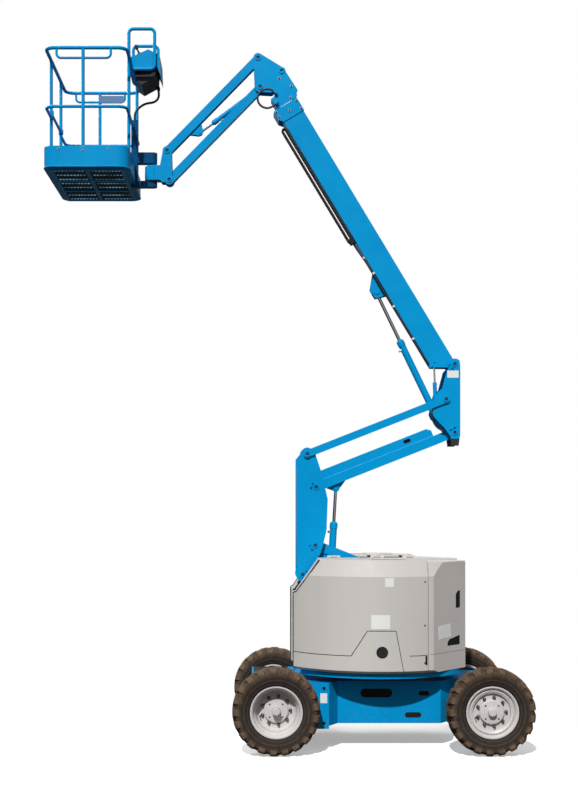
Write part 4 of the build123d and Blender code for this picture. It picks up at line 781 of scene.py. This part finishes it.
# ---------------------------------------------------------------- turntable
@dataclass(frozen=True)
class Superstructure:
    """What is seen on the covers and the tail: seals, latches, painted shade in the tail's openings and the
    moulded lines, blank plates.
    """

    arc: float = 0.930
    offset: float = 0.110
    foot: float = 0.722
    knee: float = 1.402
    top: float = 1.705
    bevel: float = 0.145
    bevel_in: float = 0.050
    front: float = -0.7755
    seam: float = 0.372
    roundel: tuple[float, float] = (-0.012, 0.900)
    tail: tuple[float, float] = (0.570, 0.5665)
    tail_normal: tuple[float, float] = (0.760, 0.650)

    def edge(self, x: np.ndarray | float, out: float = 0.0) -> np.ndarray | float:
        """Return the covers' outside at an X: y = sqrt((R + out)^2 - x^2) - offset."""
        return np.sqrt((self.arc + out) ** 2 - np.square(x)) - self.offset

    def outward(self, side: Side, x: float, z: float) -> Basis:
        """Return a basis on a cover's outside at an X and a Z, its own Z looking out."""
        y = float(self.edge(x))
        return Basis((x, side.value * y, z)).facing((x, side.value * (y + self.offset), 0.0))

    def sheet(self, side: Side, x: np.ndarray, z: np.ndarray, outer: float, inner: float) -> Shape:
        """Return a sheet that follows a cover.

        Args:
            side: The cover's side.
            x: X over a grid of rows and columns.
            z: Z over the same grid.
            outer: How far its face lies outside the cover.
            inner: How far its back does.

        Returns:
            The closed sheet.
        """
        return Shape.skin(*(
            np.stack([x, side.value * self.edge(x, out), z], axis=-1) for out in (outer, inner)
        ))

    def patch(self, side: Side, low: tuple[float, float], high: tuple[float, float],
              thick: float = 0.0012) -> Shape:
        """Return a thin plate that follows a cover between two corners given as X and Z."""
        x, z = np.meshgrid(np.linspace(low[0], high[0], 12), np.linspace(low[1], high[1], 3), indexing="ij")
        return self.sheet(side, x, z, thick, -0.002)

    def seals(self) -> None:
        """Run a black edge seal up the front of each cover, which leans back above its knee."""
        z = np.concatenate([np.linspace(self.foot, 1.40, 12), np.linspace(1.41, 1.700, 10)])
        lean = np.clip((z - self.knee) / 0.304, 0.0, 1.0)
        x = np.where(z > self.knee, -0.756 + 0.210 * lean, self.front)
        inset = self.bevel_in * np.clip((z - (self.top - self.bevel)) / self.bevel, 0.0, 1.0)
        for side in Side:
            y = side.value * (self.edge(x) - inset - 0.004)
            Shape.tube(np.column_stack([x - 0.002, y, z]), 0.006, 10).piece(
                f"front_seal_{side.tag}", RUBBER_SEAL, f"cover_{side.tag}", "rubber")

    def labels(self) -> None:
        """Stick the blank plates on the near cover and, tilted by 4 degrees, on the tail."""
        Shape.joined([
            self.patch(Side.NEAR, (0.013, 1.472), (0.092, 1.551)),
            self.patch(Side.NEAR, (-0.108, 1.105), (0.057, 1.227)),
        ]).piece("cover_labels", WHITE_LABEL, "cover_near")
        flat = Basis((self.tail[0], -self.tail[1], 1.057))
        flat = flat.facing((self.tail_normal[0], -self.tail_normal[1], 0.0))
        tilt, x, y = math.radians(4.0), np.array(flat.x), np.array(flat.y)
        tilted = Basis(flat.origin, tuple(math.cos(tilt) * x + math.sin(tilt) * y),
                       tuple(math.cos(tilt) * y - math.sin(tilt) * x), flat.z)
        Shape.block((0.200, 0.118, 0.003), 0.001).on(tilted).piece("tail_label", WHITE_LABEL, "turntable")

    def latches(self) -> None:
        """Add each cover's pad on top, a black patch of painted shade in its latch slot and the small screws
        by the seam.
        """
        for side in Side:
            body = f"cover_{side.tag}"
            pad = Shape.block((0.290, 0.110, 0.012), 0.004, (0.070, side.value * 0.560, self.top + 0.007))
            pad.piece(f"cover_pad_{side.tag}", COVER_GREY, body, "grey_plastic")
            # Painted shade: a black patch stands for the shadow inside the latch slot.
            slot = self.patch(side, (0.376, 0.780), (0.394, 0.860), 0.0010)
            slot.piece(f"latch_slot_{side.tag}", SHADOW_BLACK, body)
            heads = [self.outward(side, self.seam, z) for z in (1.515, 1.130, 0.800)]
            Shape.lathe([(-0.001, 0.008), (0.0025, 0.0075), (0.0045, 0.004)], 20).on(*heads).piece(
                f"cover_screws_{side.tag}", NUT, body)

    def openings(self) -> None:
        """Fill the tail's openings with black plates of painted shade, a little inside its flat sides."""
        shapes = (  # corners as X and Z
            ((0.690, 1.258), (0.736, 1.258), (0.736, 1.418), (0.708, 1.410), (0.690, 1.385)),
            ((0.600, 0.925), (0.733, 0.925), (0.733, 1.012), (0.622, 0.985), (0.602, 0.960)),
        )
        ahead, out = self.tail_normal
        for side in Side:
            turn = -side.value
            where = Basis((self.tail[0], side.value * self.tail[1], 0.0), (out * turn, ahead, 0.0),
                          (0.0, 0.0, 1.0), (ahead, side.value * out, 0.0))
            outlines = [[(turn * (x - self.tail[0]) / out, z) for x, z in shape][::turn] for shape in shapes]
            # Painted shade: black plates stand for the shadow inside the openings.
            opening_shades = [Shape.prism(outline, -0.013, -0.005, 0.0005).on(where) for outline in outlines]
            Shape.joined(opening_shades).piece(f"tail_screens_{side.tag}", SHADOW_BLACK, "turntable")

    def line(self, points: Sequence[tuple[float, float]], side: Side, width: float = 0.0052) -> Shape:
        """Return a black strip of painted shade in the floor of a moulded line along corners given as X and Z
        on the covers.
        """
        parts = []
        for (x0, z0), (x1, z1) in zip(points, points[1:]):
            t = np.linspace(0.0, 1.0, 24)[:, None]
            shift = np.array([-0.5, 0.5])[None] * width / math.hypot(x1 - x0, z1 - z0)
            x = x0 + (x1 - x0) * t - (z1 - z0) * shift
            z = z0 + (z1 - z0) * t + (x1 - x0) * shift
            parts.append(self.sheet(side, x, z, -0.0008, -0.0040))
        return Shape.joined(parts)

    def lines(self) -> None:
        """Paint shade into the moulded lines of the covers as black strips and add the covers' blank
        roundels.
        """
        front = [(-0.768, 0.865), (-0.281, 0.865), (-0.141, 1.087), (0.110, 1.087), (0.178, 0.730)]
        back = [(0.230, 0.865), (0.392, 0.865)]
        disc = Shape.lathe([(-0.002, 0.052), (0.0015, 0.052), (0.0025, 0.050), (0.0018, 0.044)], 40)
        for side in Side:
            # Painted shade: black strips stand for the shadow in the moulded lines.
            Shape.joined([self.line(front, side), self.line(back, side)]).piece(
                f"cover_lines_{side.tag}", SHADOW_BLACK, f"cover_{side.tag}")
            disc.on(self.outward(side, *self.roundel)).piece(
                f"cover_roundel_{side.tag}", BLACK_PLASTIC, f"cover_{side.tag}")

    def build(self) -> None:
        """Build everything on the turntable."""
        self.seals()
        self.labels()
        self.latches()
        self.openings()
        self.lines()


# ---------------------------------------------------------------- chassis
@dataclass(frozen=True)
class ChassisTrim:
    """The chassis frame's bolts, painted shade on its top and in its slots, and its blank label."""

    ring_radius: float = 0.392
    ring_top: float = 0.604
    ring_bolts: int = 36
    box_half: float = 0.600
    shade_x: float = -0.970
    shade_y: float = 0.300
    slot_half: float = 0.450

    def ring(self) -> None:
        """Stand the slewing ring's bolts in a circle."""
        angle = np.linspace(0.0, 2.0 * np.pi, self.ring_bolts, endpoint=False)
        r = self.ring_radius
        spots = [Basis((r * math.cos(a), r * math.sin(a), self.ring_top)) for a in angle]
        bolt(0.024, 0.014).on(*spots).piece("ring_bolts", NUT, "chassis")

    def box_end(self) -> None:
        """Bolt the drive end's side plates and stick their blank label."""
        spots = [
            outside((x, side.value * self.box_half, z), side)
            for side in Side for x in (-1.115, -0.510) for z in (0.250, 0.560)
        ]
        bolt(0.024, 0.012).on(*spots).piece("side_bolts", NUT, "chassis")
        where = outside((-0.512, -self.box_half - 0.0005, 0.468), Side.NEAR)
        Shape.block((0.062, 0.088, 0.002), 0.0008).on(where).piece("chassis_label", WHITE_LABEL, "chassis")

    def top_shade(self) -> None:
        """Lay black ribbed sheets on the frame's drive end, outside the turntable, as painted shade on its
        top.
        """
        parts = []
        for side in Side:
            y = side.value * self.shade_y
            parts.append(Shape.block((0.330, 0.560, 0.004), 0.0015, (self.shade_x, y, 0.6062)))
            for x in np.arange(-1.120, -0.81, 0.022):
                parts.append(Shape.block((0.007, 0.550, 0.003), 0.001, (float(x), y, 0.6090)))
        # Painted shade: the black sheets darken the frame's top at the drive end.
        Shape.joined(parts).piece("frame_top_shade", RUBBER_SEAL, "chassis", "rubber")

    def slots(self) -> None:
        """Back the frame's slots with black plates of painted shade, a little below the paint."""
        slots = (  # X, Z, length, height
            (-0.030, 0.494, 0.287, 0.080), (0.398, 0.491, 0.098, 0.041), (0.301, 0.296, 0.147, 0.049),
        )
        plates = []
        for x, z, long, high in slots:
            outline = stadium((long - high) / 2, high / 2 - 0.0005, 12)
            for side in Side:
                where = outside((x, side.value * self.slot_half, z), side)
                plates.append(Shape.prism(outline, -0.012, -0.006, 0.0005).on(where))
        # Painted shade: black plates stand for the shadow inside the slots.
        Shape.joined(plates).piece("frame_slot_shade", SHADOW_BLACK, "chassis")

    def build(self) -> None:
        """Build the chassis trim."""
        self.ring()
        self.box_end()
        self.top_shade()
        self.slots()


# ---------------------------------------------------------------- arms
# by body, each pin's X, Z and half length, and its keeper's bearing in degrees where it has one
PINS: dict[str, tuple[tuple[float, float, float, Optional[float]], ...]] = {
    "post": ((-0.566, 1.815, 0.150, 205.0), (-0.558, 2.354, 0.150, 160.0), (-0.681, 1.544, 0.150, 20.0),
             (-0.640, 2.660, 0.170, None)),
    "riser": ((0.722, 2.859, 0.150, 120.0), (0.722, 3.491, 0.150, 215.0), (0.640, 3.165, 0.170, None)),
    "jib_mount": ((-1.095, 6.347, 0.064, None), (-1.075, 6.077, 0.064, None)),
    "platform_mount": ((-1.940, 5.482, 0.064, None), (-1.920, 5.212, 0.064, None)),
}


@dataclass(frozen=True)
class ArmTrim:
    """Weld seams, pin cores, keepers, glands, painted shade in the slots and blank plates on the arms and the
    jib.
    """

    weld: float = 0.0032
    channel: float = 0.055

    def seam(self, name: str, line: Line2, body: str, span: tuple[float, float], across: float,
             y: float) -> None:
        """Lay a weld bead along a member: a tube whose radius ripples with each pass of the torch.

        Args:
            name: Name of the piece.
            line: The member.
            body: Its CAD body.
            span: Where the bead starts and ends along it.
            across: Its place across the member.
            y: Its Y.
        """
        along = np.linspace(span[0], span[1], int((span[1] - span[0]) / 0.004))
        angle = np.linspace(0.0, 2.0 * np.pi, 8, endpoint=False)
        ripple = self.weld * (1.0 + 0.16 * np.abs(np.sin(along * math.pi / 0.009)))[:, None]
        local = np.stack([
            np.repeat(along[:, None], 8, axis=1), across + ripple * np.cos(angle)[None],
            ripple * np.sin(angle)[None],
        ], axis=-1)
        Shape.rings(line.basis(0.0, 0.0, y).apply(local)).piece(name, PAINT, body, "blue_paint")

    def pin_caps(self) -> None:
        """Set a core with a grease nipple in both ends of each main pin."""
        core = Shape.joined([
            Shape.lathe([(-0.0095, 0.0148), (-0.0060, 0.0148), (-0.0045, 0.0125)], 28),
            Shape.lathe([(-0.005, 0.0036), (0.002, 0.0036), (0.0035, 0.0022), (0.006, 0.0026),
                         (0.008, 0.0014)], 12),
        ])
        for body, rows in PINS.items():
            ends = [outside((x, side.value * y, z), side) for x, z, y, _ in rows for side in Side]
            core.on(*ends).piece(f"{body}_pin_cores", NUT, body)

    def keepers(self) -> None:
        """Add the flat keeper with its two bolts beside each large pin."""
        for body, rows in PINS.items():
            bars, heads = [], []
            for x, z, y, bearing in [row for row in rows if row[3] is not None]:
                angle = math.radians(bearing)
                out = (math.cos(angle), 0.0, math.sin(angle))
                axis = (-out[2], 0.0, out[0])
                for side in Side:
                    across = tuple(np.cross(side.normal, axis))
                    middle = (x + 0.043 * out[0], side.value * y, z + 0.043 * out[2])
                    bars.append(Basis(middle, axis, across, side.normal))
                    for shift in (-0.020, 0.020):
                        spot = (middle[0] + shift * axis[0], side.value * (y + 0.006),
                                middle[2] + shift * axis[2])
                        heads.append(Basis(spot, axis, across, side.normal))
            if bars:
                bar = Shape.block((0.068, 0.020, 0.012), 0.002).on(*bars)
                bar.piece(f"{body}_keepers", PAINT, body, "blue_paint")
                bolt(0.013, 0.007).on(*heads).piece(f"{body}_keeper_bolts", PAINT, body, "blue_paint")

    def glands(self) -> None:
        """Put the gland nut, the wiper and a port on each hydraulic cylinder."""
        base_low, rod_up = LOWER_ARM.point(0.188, -0.035), UPPER_ARM.point(0.172, -0.083)
        lift, eye = (0.558, 0.0, 3.037611), BOOM.point(0.952, 0.258)
        jib, jib_eye = (-1.075, 0.0, 6.077), JIB_UPPER.point(0.868, 0.092)
        cylinders = (  # name, base eye, rod eye, reach of the barrel, its radius, the rod's radius
            ("secondary", base_low, rod_up, 0.306, 0.033, 0.015),
            ("lift", lift, eye, 0.755, 0.032, 0.016),
            ("jib", jib, jib_eye, 0.545, 0.022, 0.012),
        )
        for name, base, end, reach, radius, rod in cylinders:
            axis = np.subtract(end, base)
            axis = axis / np.linalg.norm(axis)
            where = Basis(tuple(np.array(base) + axis * reach)).facing(tuple(axis), (0.0, 1.0, 0.0))
            ring = Shape.lathe([
                (-0.052, radius + 0.0004), (-0.051, radius + 0.004), (-0.006, radius + 0.004),
                (-0.003, radius + 0.001), (0.004, radius * 0.86), (0.010, radius * 0.80),
                (0.012, rod + 0.0015),
            ], 40)
            ring.on(where).piece(f"{name}_gland", PAINT, f"{name}_barrel", "blue_paint")
            port = Basis(tuple(np.array(base) + axis * (reach - 0.085)))
            port = port.facing((-axis[2], 0.0, axis[0]), (0.0, 1.0, 0.0))
            stub = Shape.joined([
                Shape.lathe([(radius - 0.004, 0.0115), (radius + 0.008, 0.0115),
                             (radius + 0.009, 0.0100)], 20),
                Shape.prism(hexagon(0.021), radius + 0.008, radius + 0.020, 0.0015),
            ])
            stub.on(port).piece(f"{name}_port", ZINC, f"{name}_barrel")

    def slots(self) -> None:
        """Back the upper arm's slots with black plates of painted shade."""
        plate = Shape.prism(stadium(0.0175, 0.0172, 10), -0.002, 0.002, 0.0005)
        where = [UPPER_ARM.basis(0.945, 0.085, side.value * (self.channel - 0.008)) for side in Side]
        # Painted shade: black plates stand for the shadow inside the slots.
        plate.on(*where).piece("arm_slot_shade", SHADOW_BLACK, "upper_arm")

    def plates(self) -> None:
        """Stick the blank plates on the riser."""
        for side in Side:
            where = outside((0.705, side.value * 0.1505, 3.395), side)
            Shape.block((0.105, 0.066, 0.002), 0.0008).on(where).piece(
                f"riser_label_{side.tag}", WHITE_LABEL, "riser")

    def build(self) -> None:
        """Build the trim of the arms."""
        for side in Side:
            face, span = side.value * 0.0708, (0.05, 1.18)
            self.seam(f"upper_weld_{side.tag}", UPPER_ARM, "upper_arm", span, 0.0405, face)
            self.seam(f"lower_weld_{side.tag}", LOWER_ARM, "lower_arm", span, -0.0405, face)
        self.pin_caps()
        self.keepers()
        self.glands()
        self.slots()
        self.plates()


# ---------------------------------------------------------------- boom
@dataclass(frozen=True)
class BoomTrim:
    """The cable chain, clips, wear pads and bolts on the telescopic boom, in places along it."""

    chain: tuple[float, float] = (1.478, 2.700)
    chain_depth: tuple[float, float] = (0.198, 0.252)
    chain_sides: tuple[float, float] = (-0.075, -0.015)
    link: float = 0.0435
    run_depth: float = 0.019
    back: float = 0.190
    hose: float = 0.202
    mouth: float = 2.880

    def cable_chain(self) -> None:
        """Model the cable chain in its two runs, with the loop at its end and its foot.

        Each link is a pair of waisted side plates joined by two bars. The plates reach 0.62 of a pitch
        either way, so that neighbours overlap, and stand inside and outside by turns.
        """
        pitch, half = self.link, self.run_depth / 2
        waist = [
            (-0.62 * pitch, -0.70 * half), (-0.35 * pitch, -half), (0.35 * pitch, -half),
            (0.62 * pitch, -0.70 * half),
        ]
        outline = waist + [(-x, -z) for x, z in waist]
        inner, outer = self.chain_depth[0] + half, self.chain_depth[1] - half
        middle_y = sum(self.chain_sides) / 2
        plates, bars, pins = [], [], []
        bend = (outer - inner) / 2
        top = self.chain[1] - bend - half
        count = int((top - self.chain[0]) / pitch)
        for index in range(count):
            along = self.chain[0] + (index + 0.5) * pitch
            for middle in (inner, outer):
                for y, out in ((self.chain_sides[0] + 0.004, -0.0052), (self.chain_sides[1] - 0.004, 0.0052)):
                    plates.append(BOOM.basis(along, middle, y + (0.0016 if index % 2 else -0.0016)))
                    pins.append(BOOM.basis(along + 0.5 * pitch, middle, y + out))
                for across in (middle - half + 0.003, middle + half - 0.003):
                    bars.append(BOOM.basis(along, across, middle_y))
        width = self.chain_sides[1] - self.chain_sides[0]
        foot = Shape.block((0.060, 0.052, width), 0.004).on(BOOM.basis(1.470, 0.216, middle_y))
        turn = np.linspace(-0.5 * np.pi, 0.5 * np.pi, 24)
        start = self.chain[0] + count * pitch - 0.01
        arc = [(top + bend * math.cos(a), (inner + outer) / 2 + bend * math.sin(a)) for a in turn]
        path = [(start, inner), *arc, (start, outer)]
        loops = [
            Shape.tube([BOOM.point(along, across, y) for along, across in path], half, 12)
            for y in np.linspace(self.chain_sides[0] + half, self.chain_sides[1] - half, 4)
        ]
        held = [float(along) for along in np.linspace(1.46, start + 0.02, 30)]
        lines = [
            Shape.tube([BOOM.point(along, middle + dn, middle_y + dy) for along in held], 0.0058, 10)
            for middle in (inner, outer) for dn, dy in ((0.001, -0.016), (-0.001, 0.0), (0.0, 0.015))
        ]
        Shape.joined([
            Shape.prism(outline, -0.0035, 0.0035, 0.0012).on(*plates),
            Shape.block((0.020, 0.004, width - 0.006), 0.0012).on(*bars),
            Shape.lathe([(-0.0012, 0.0062), (0.0012, 0.0062), (0.0018, 0.0050)], 16).on(*pins),
            *loops, foot,
        ]).piece("chain_links", CHAIN_BLACK, "boom_outer", "black_plastic", ["cable_chain"])
        Shape.joined(lines).piece("chain_lines", HOSE, "boom_outer", "hose_rubber")

    def clips(self) -> None:
        """Clamp the boom's hose with pale clips, each with its bolt."""
        places = ((1.280, -0.061), (1.110, -0.080), (0.750, -0.080), (0.400, -0.086))  # along, Y
        height = self.hose - self.back + 0.0115
        clamp = Shape.block((0.020, 0.032, height), 0.003, (0.0, 0.0, height / 2))
        feet = [BOOM.standing(along, self.back, y) for along, y in places]
        clamp.on(*feet).piece("hose_clips", PALE_PLASTIC, "boom_outer")
        heads = [BOOM.standing(along, 0.2135, y) for along, y in places]
        bolt(0.011, 0.005).on(*heads).piece("clip_bolts", ZINC, "boom_outer")

    def side_bolts(self, name: str, body: str, places: Sequence[tuple[float, float]], y: float) -> None:
        """Set bolts on both sides of the boom.

        Args:
            name: Name of the piece.
            body: Its CAD body.
            places: Each bolt's place along the boom and across it.
            y: Half the width there.
        """
        heads = [
            outside(BOOM.point(along, across, side.value * y), side)
            for side in Side for along, across in places
        ]
        bolt(0.020, 0.009).on(*heads).piece(name, ZINC, body)

    def collar(self) -> None:
        """Bolt the mouth's collar and show the wear pads that the inner boom slides on."""
        bolts = ((2.765, -0.010), (2.850, -0.010), (2.800, 0.205), (2.850, 0.205), (2.800, 0.095))
        self.side_bolts("collar_bolts", "boom_outer", bolts, 0.098)
        upright = Shape.block((0.026, 0.120, 0.0052), 0.001)
        level = Shape.block((0.026, 0.0052, 0.110), 0.001)
        Shape.joined([
            upright.on(*(BOOM.basis(self.mouth, 0.085, side.value * 0.0812) for side in Side)),
            level.on(*(BOOM.basis(self.mouth, across, 0.0) for across in (-0.0112, 0.1812))),
        ]).piece("wear_pads", PALE_PLASTIC, "boom_outer")

    def tip(self) -> None:
        """Bolt the tip's plates."""
        bolts = ((2.925, 0.150), (2.905, 0.020), (2.990, -0.040), (3.110, 0.020))
        self.side_bolts("tip_bolts", "boom_inner", bolts, 0.084)

    def build(self) -> None:
        """Build the boom's trim."""
        self.cable_chain()
        self.clips()
        self.collar()
        self.tip()


# ---------------------------------------------------------------- platform
@dataclass(frozen=True)
class PlatformTrim:
    """The panel's switches, the rails' clamps, the floor from below, its lip and the blank sign."""

    rail: tuple[float, float] = (-2.261, 6.234)
    panel_low: tuple[float, float] = (-2.229, 6.242)
    panel_high: tuple[float, float] = (-2.090, 6.308)
    middle: float = -2.620
    toe: float = 0.710

    def deck(self, across: float, y: float) -> Basis:
        """Return a basis on the sloping panel: Z up out of it, X up the slope."""
        low, high = np.array(self.panel_low), np.array(self.panel_high)
        x, z = (low + across * (high - low)).tolist()
        run, rise = ((high - low) / np.linalg.norm(high - low)).tolist()
        return Basis((x, y, z), (run, 0.0, rise), (0.0, 1.0, 0.0), (-rise, 0.0, run))

    def controls(self) -> None:
        """Set the joysticks, switches and the stop button on the panel."""
        plate = Shape.block((0.136, 0.400, 0.003), 0.001).on(self.deck(0.5, -0.210))
        plate.piece("panel_plate", GUARD_PAINT, "platform")
        boot = Shape.lathe([
            (0.001, 0.030), (0.006, 0.029), (0.008, 0.025), (0.012, 0.026), (0.014, 0.021), (0.018, 0.022),
            (0.020, 0.016), (0.024, 0.017), (0.026, 0.010), (0.060, 0.007), (0.064, 0.013), (0.092, 0.015),
            (0.104, 0.012), (0.108, 0.006),
        ], 28)
        boot.on(self.deck(0.45, -0.350), self.deck(0.45, -0.090)).piece(
            "joysticks", BLACK_PLASTIC, "platform", "black_plastic")
        toggle = Shape.joined([
            Shape.prism(hexagon(0.013), 0.001, 0.005, 0.001),
            Shape.lathe([(0.004, 0.0042), (0.008, 0.0040), (0.009, 0.0022), (0.024, 0.0030),
                         (0.027, 0.0022)], 14),
        ])
        spots = [self.deck(0.22 + 0.30 * row, -0.285 + 0.036 * k) for row in range(2) for k in range(4)]
        toggle.on(*spots).piece("toggles", ZINC, "platform")
        stop = Shape.lathe([(0.001, 0.013), (0.012, 0.013), (0.013, 0.019), (0.024, 0.019),
                            (0.028, 0.015)], 32)
        stop.on(self.deck(0.80, -0.215)).piece("stop_button", STOP_RED, "platform")

    def clamps(self) -> None:
        """Bolt the rail posts to the toe board and tie the control box to the rail."""
        places = ((-2.645, 5.322), (-2.645, 5.346), (-2.860, 5.335), (-2.420, 5.335))  # X, Z
        heads = [outside((x, side.value * self.toe, z), side) for side in Side for x, z in places]
        bolt(0.016, 0.007).on(*heads).piece("toe_bolts", ZINC, "platform")
        band = Shape.lathe([(-0.011, 0.0165), (-0.011, 0.0195), (0.011, 0.0195), (0.011, 0.0165)], 32)
        where = [
            Basis((self.rail[0], y, self.rail[1]), (1.0, 0.0, 0.0), (0.0, 0.0, -1.0), (0.0, 1.0, 0.0))
            for y in (-0.435, 0.014)
        ]
        band.on(*where).piece("rail_clamps", ZINC, "platform")

    def underside(self) -> None:
        """Show the floor's frame and dark panel from below, with rows of raised rims that glow as painted
        daylight for its holes.
        """
        bars = [Shape.block((0.036, 1.300, 0.012), 0.002, (x, 0.0, 5.169)) for x in (-2.940, -2.620, -2.300)]
        bars += [
            Shape.block((0.640, 0.036, 0.014), 0.002, (self.middle, y, 5.168))
            for y in (-0.630, -0.210, 0.210, 0.630)
        ]
        Shape.joined(bars).piece("floor_frame", PAINT, "platform", "blue_paint")
        Shape.block((0.600, 1.240, 0.0030), 0.001, (self.middle, 0.0, 5.1745)).piece(
            "floor_panel", DARK_STEEL, "platform", "dark_steel")
        x, y = np.meshgrid(np.arange(-2.905, -2.33, 0.0300), np.linspace(-0.575, 0.575, 8), indexing="ij")
        clear = (np.abs(x - self.middle) > 0.030) & (np.abs(np.abs(y) - 0.210) > 0.034)
        places = [Basis((float(a), float(b), 5.1740)) for a, b in zip(x[clear], y[clear])]
        rim = Shape.lathe([(-0.0080, 0.0045), (-0.0066, 0.0085), (-0.0035, 0.0112), (0.0005, 0.0125)], 14)
        # Painted light: the rims glow to stand for daylight seen through the holes.
        rim.on(*places).piece("punched_hole_glow", PAINTED_DAYLIGHT, "platform")

    def lip(self) -> None:
        """Run the rolled lip around the foot of the toe board: a rounded rectangle with corners of 0.1 m."""
        turn = np.linspace(0.0, 0.5 * np.pi, 9)
        path = []
        for k, (x, y) in enumerate(((-2.340, 0.610), (-2.900, 0.610), (-2.900, -0.610), (-2.340, -0.610))):
            angle = turn + 0.5 * np.pi * k
            path += [(x + 0.1 * math.cos(a), y + 0.1 * math.sin(a), 5.181) for a in angle]
        end = tuple(0.999 * np.array(path[0]) + 0.001 * np.array(path[-1]))
        Shape.tube([*path, end], 0.0055, 10).piece("toe_lip", PAINT, "platform", "blue_paint")

    def sign(self) -> None:
        """Hang the blank plate inside the far rail."""
        plate = Shape.block((0.240, 0.003, 0.070), 0.001, (-2.530, 0.672, 6.168))
        plate.piece("far_sign", SIGN_PLATE, "platform")

    def build(self) -> None:
        """Build the platform's trim."""
        self.controls()
        self.clamps()
        self.underside()
        self.lip()
        self.sign()


# ---------------------------------------------------------------- stage
@dataclass
class StudioSet:
    """Floor, lamps, world light and the camera."""

    eye: Point = (-1.169, -12.9, 2.261)
    lens: float = 62.145
    shift: tuple[float, float] = (0.04875, 0.12125)

    def floor(self) -> None:
        """Lay a wide floor that is white to the camera but still takes the shadow."""
        reach = 60.0
        mesh = bpy.data.meshes.new("studio_floor")
        corners = [(-reach, -reach, 0.0), (reach, -reach, 0.0), (reach, reach, 0.0), (-reach, reach, 0.0)]
        mesh.from_pydata(corners, [], [(0, 1, 2, 3)])
        piece = bpy.data.objects.new("studio_floor", mesh)
        bpy.context.collection.objects.link(piece)
        mesh.materials.append(Studio("studio_floor_finish").build())

    def world(self) -> None:
        """Light the object evenly, and show white to the camera and through clear pieces."""
        world = bpy.data.worlds.new("studio")
        world.use_nodes = True
        bpy.context.scene.world = world
        nodes, links = world.node_tree.nodes, world.node_tree.links
        backdrop = nodes["Background"]
        backdrop.inputs["Color"].default_value = (1.0, 1.0, 1.0, 1.0)
        rays = nodes.new("ShaderNodeLightPath")
        seen = nodes.new("ShaderNodeMath")
        seen.operation = "MAXIMUM"
        seen.use_clamp = True
        links.new(rays.outputs["Is Camera Ray"], seen.inputs[0])
        links.new(rays.outputs["Is Transmission Ray"], seen.inputs[1])
        level = nodes.new("ShaderNodeMapRange")
        level.inputs["To Min"].default_value = 0.42
        level.inputs["To Max"].default_value = 1.0
        links.new(seen.outputs["Value"], level.inputs["Value"])
        links.new(level.outputs["Result"], backdrop.inputs["Strength"])

    def hang(self, name: str, kind: str, power: float) -> bpy.types.Object:
        """Hang a lamp.

        Args:
            name: The lamp's name.
            kind: AREA or SUN.
            power: Watts, or watts per square metre for a sun.

        Returns:
            The lamp, still at the origin.
        """
        data = bpy.data.lights.new(name, kind)
        data.energy = power
        lamp = bpy.data.objects.new(name, data)
        bpy.context.collection.objects.link(lamp)
        return lamp

    def sky(self) -> None:
        """Hang the soft square lamp high on the far side, towards the platform's end."""
        lamp = self.hang("sky", "AREA", 420.0)
        lamp.data.size = 4.0
        lamp.location = (-5.0, 5.0, 9.0)
        aim = np.subtract((0.0, 0.0, 0.5), lamp.location)
        tilt = math.acos(float(-aim[2] / np.linalg.norm(aim)))
        lamp.rotation_euler = (tilt, 0.0, math.atan2(float(aim[1]), float(aim[0])) - math.pi / 2)

    def sun(self) -> None:
        """Hang the sun, high on the near side, with a width of 1.6 degrees."""
        lamp = self.hang("sun", "SUN", 3.75)
        lamp.data.angle = math.radians(1.6)
        x, y, z = -0.20, -0.90, 0.86
        lamp.rotation_euler = (math.atan2(math.hypot(x, y), z), 0.0, math.atan2(y, x) + math.pi / 2)

    def camera(self) -> None:
        """Place the camera level, looking straight across the machine from the near side."""
        data = bpy.data.cameras.new("camera")
        data.lens = self.lens
        data.sensor_width = 36.0
        data.sensor_fit = "AUTO"
        data.shift_x, data.shift_y = self.shift
        data.clip_end = 200.0
        camera = bpy.data.objects.new("camera", data)
        camera.location = self.eye
        camera.rotation_euler = (math.pi / 2, 0.0, 0.0)
        bpy.context.collection.objects.link(camera)
        bpy.context.scene.camera = camera

    def build(self) -> None:
        """Set the stage."""
        self.camera()
        self.floor()
        self.world()
        self.sun()
        self.sky()
        bpy.context.scene.view_settings.view_transform = "Standard"
        log.info("stage set")


def main() -> None:
    """Build the scene, piece by piece."""
    StudioSet().build()
    dress_nodes()
    for axle, x, face in (("drive", -0.94, -0.042), ("steer", 0.94, 0.048)):
        for side in Side:
            Wheel(f"{axle}_{side.tag}", (x, side.value * 0.793, 0.385), side, face).build()
    Superstructure().build()
    ChassisTrim().build()
    ArmTrim().build()
    BoomTrim().build()
    PlatformTrim().build()


if __name__ == "__main__":
    main()
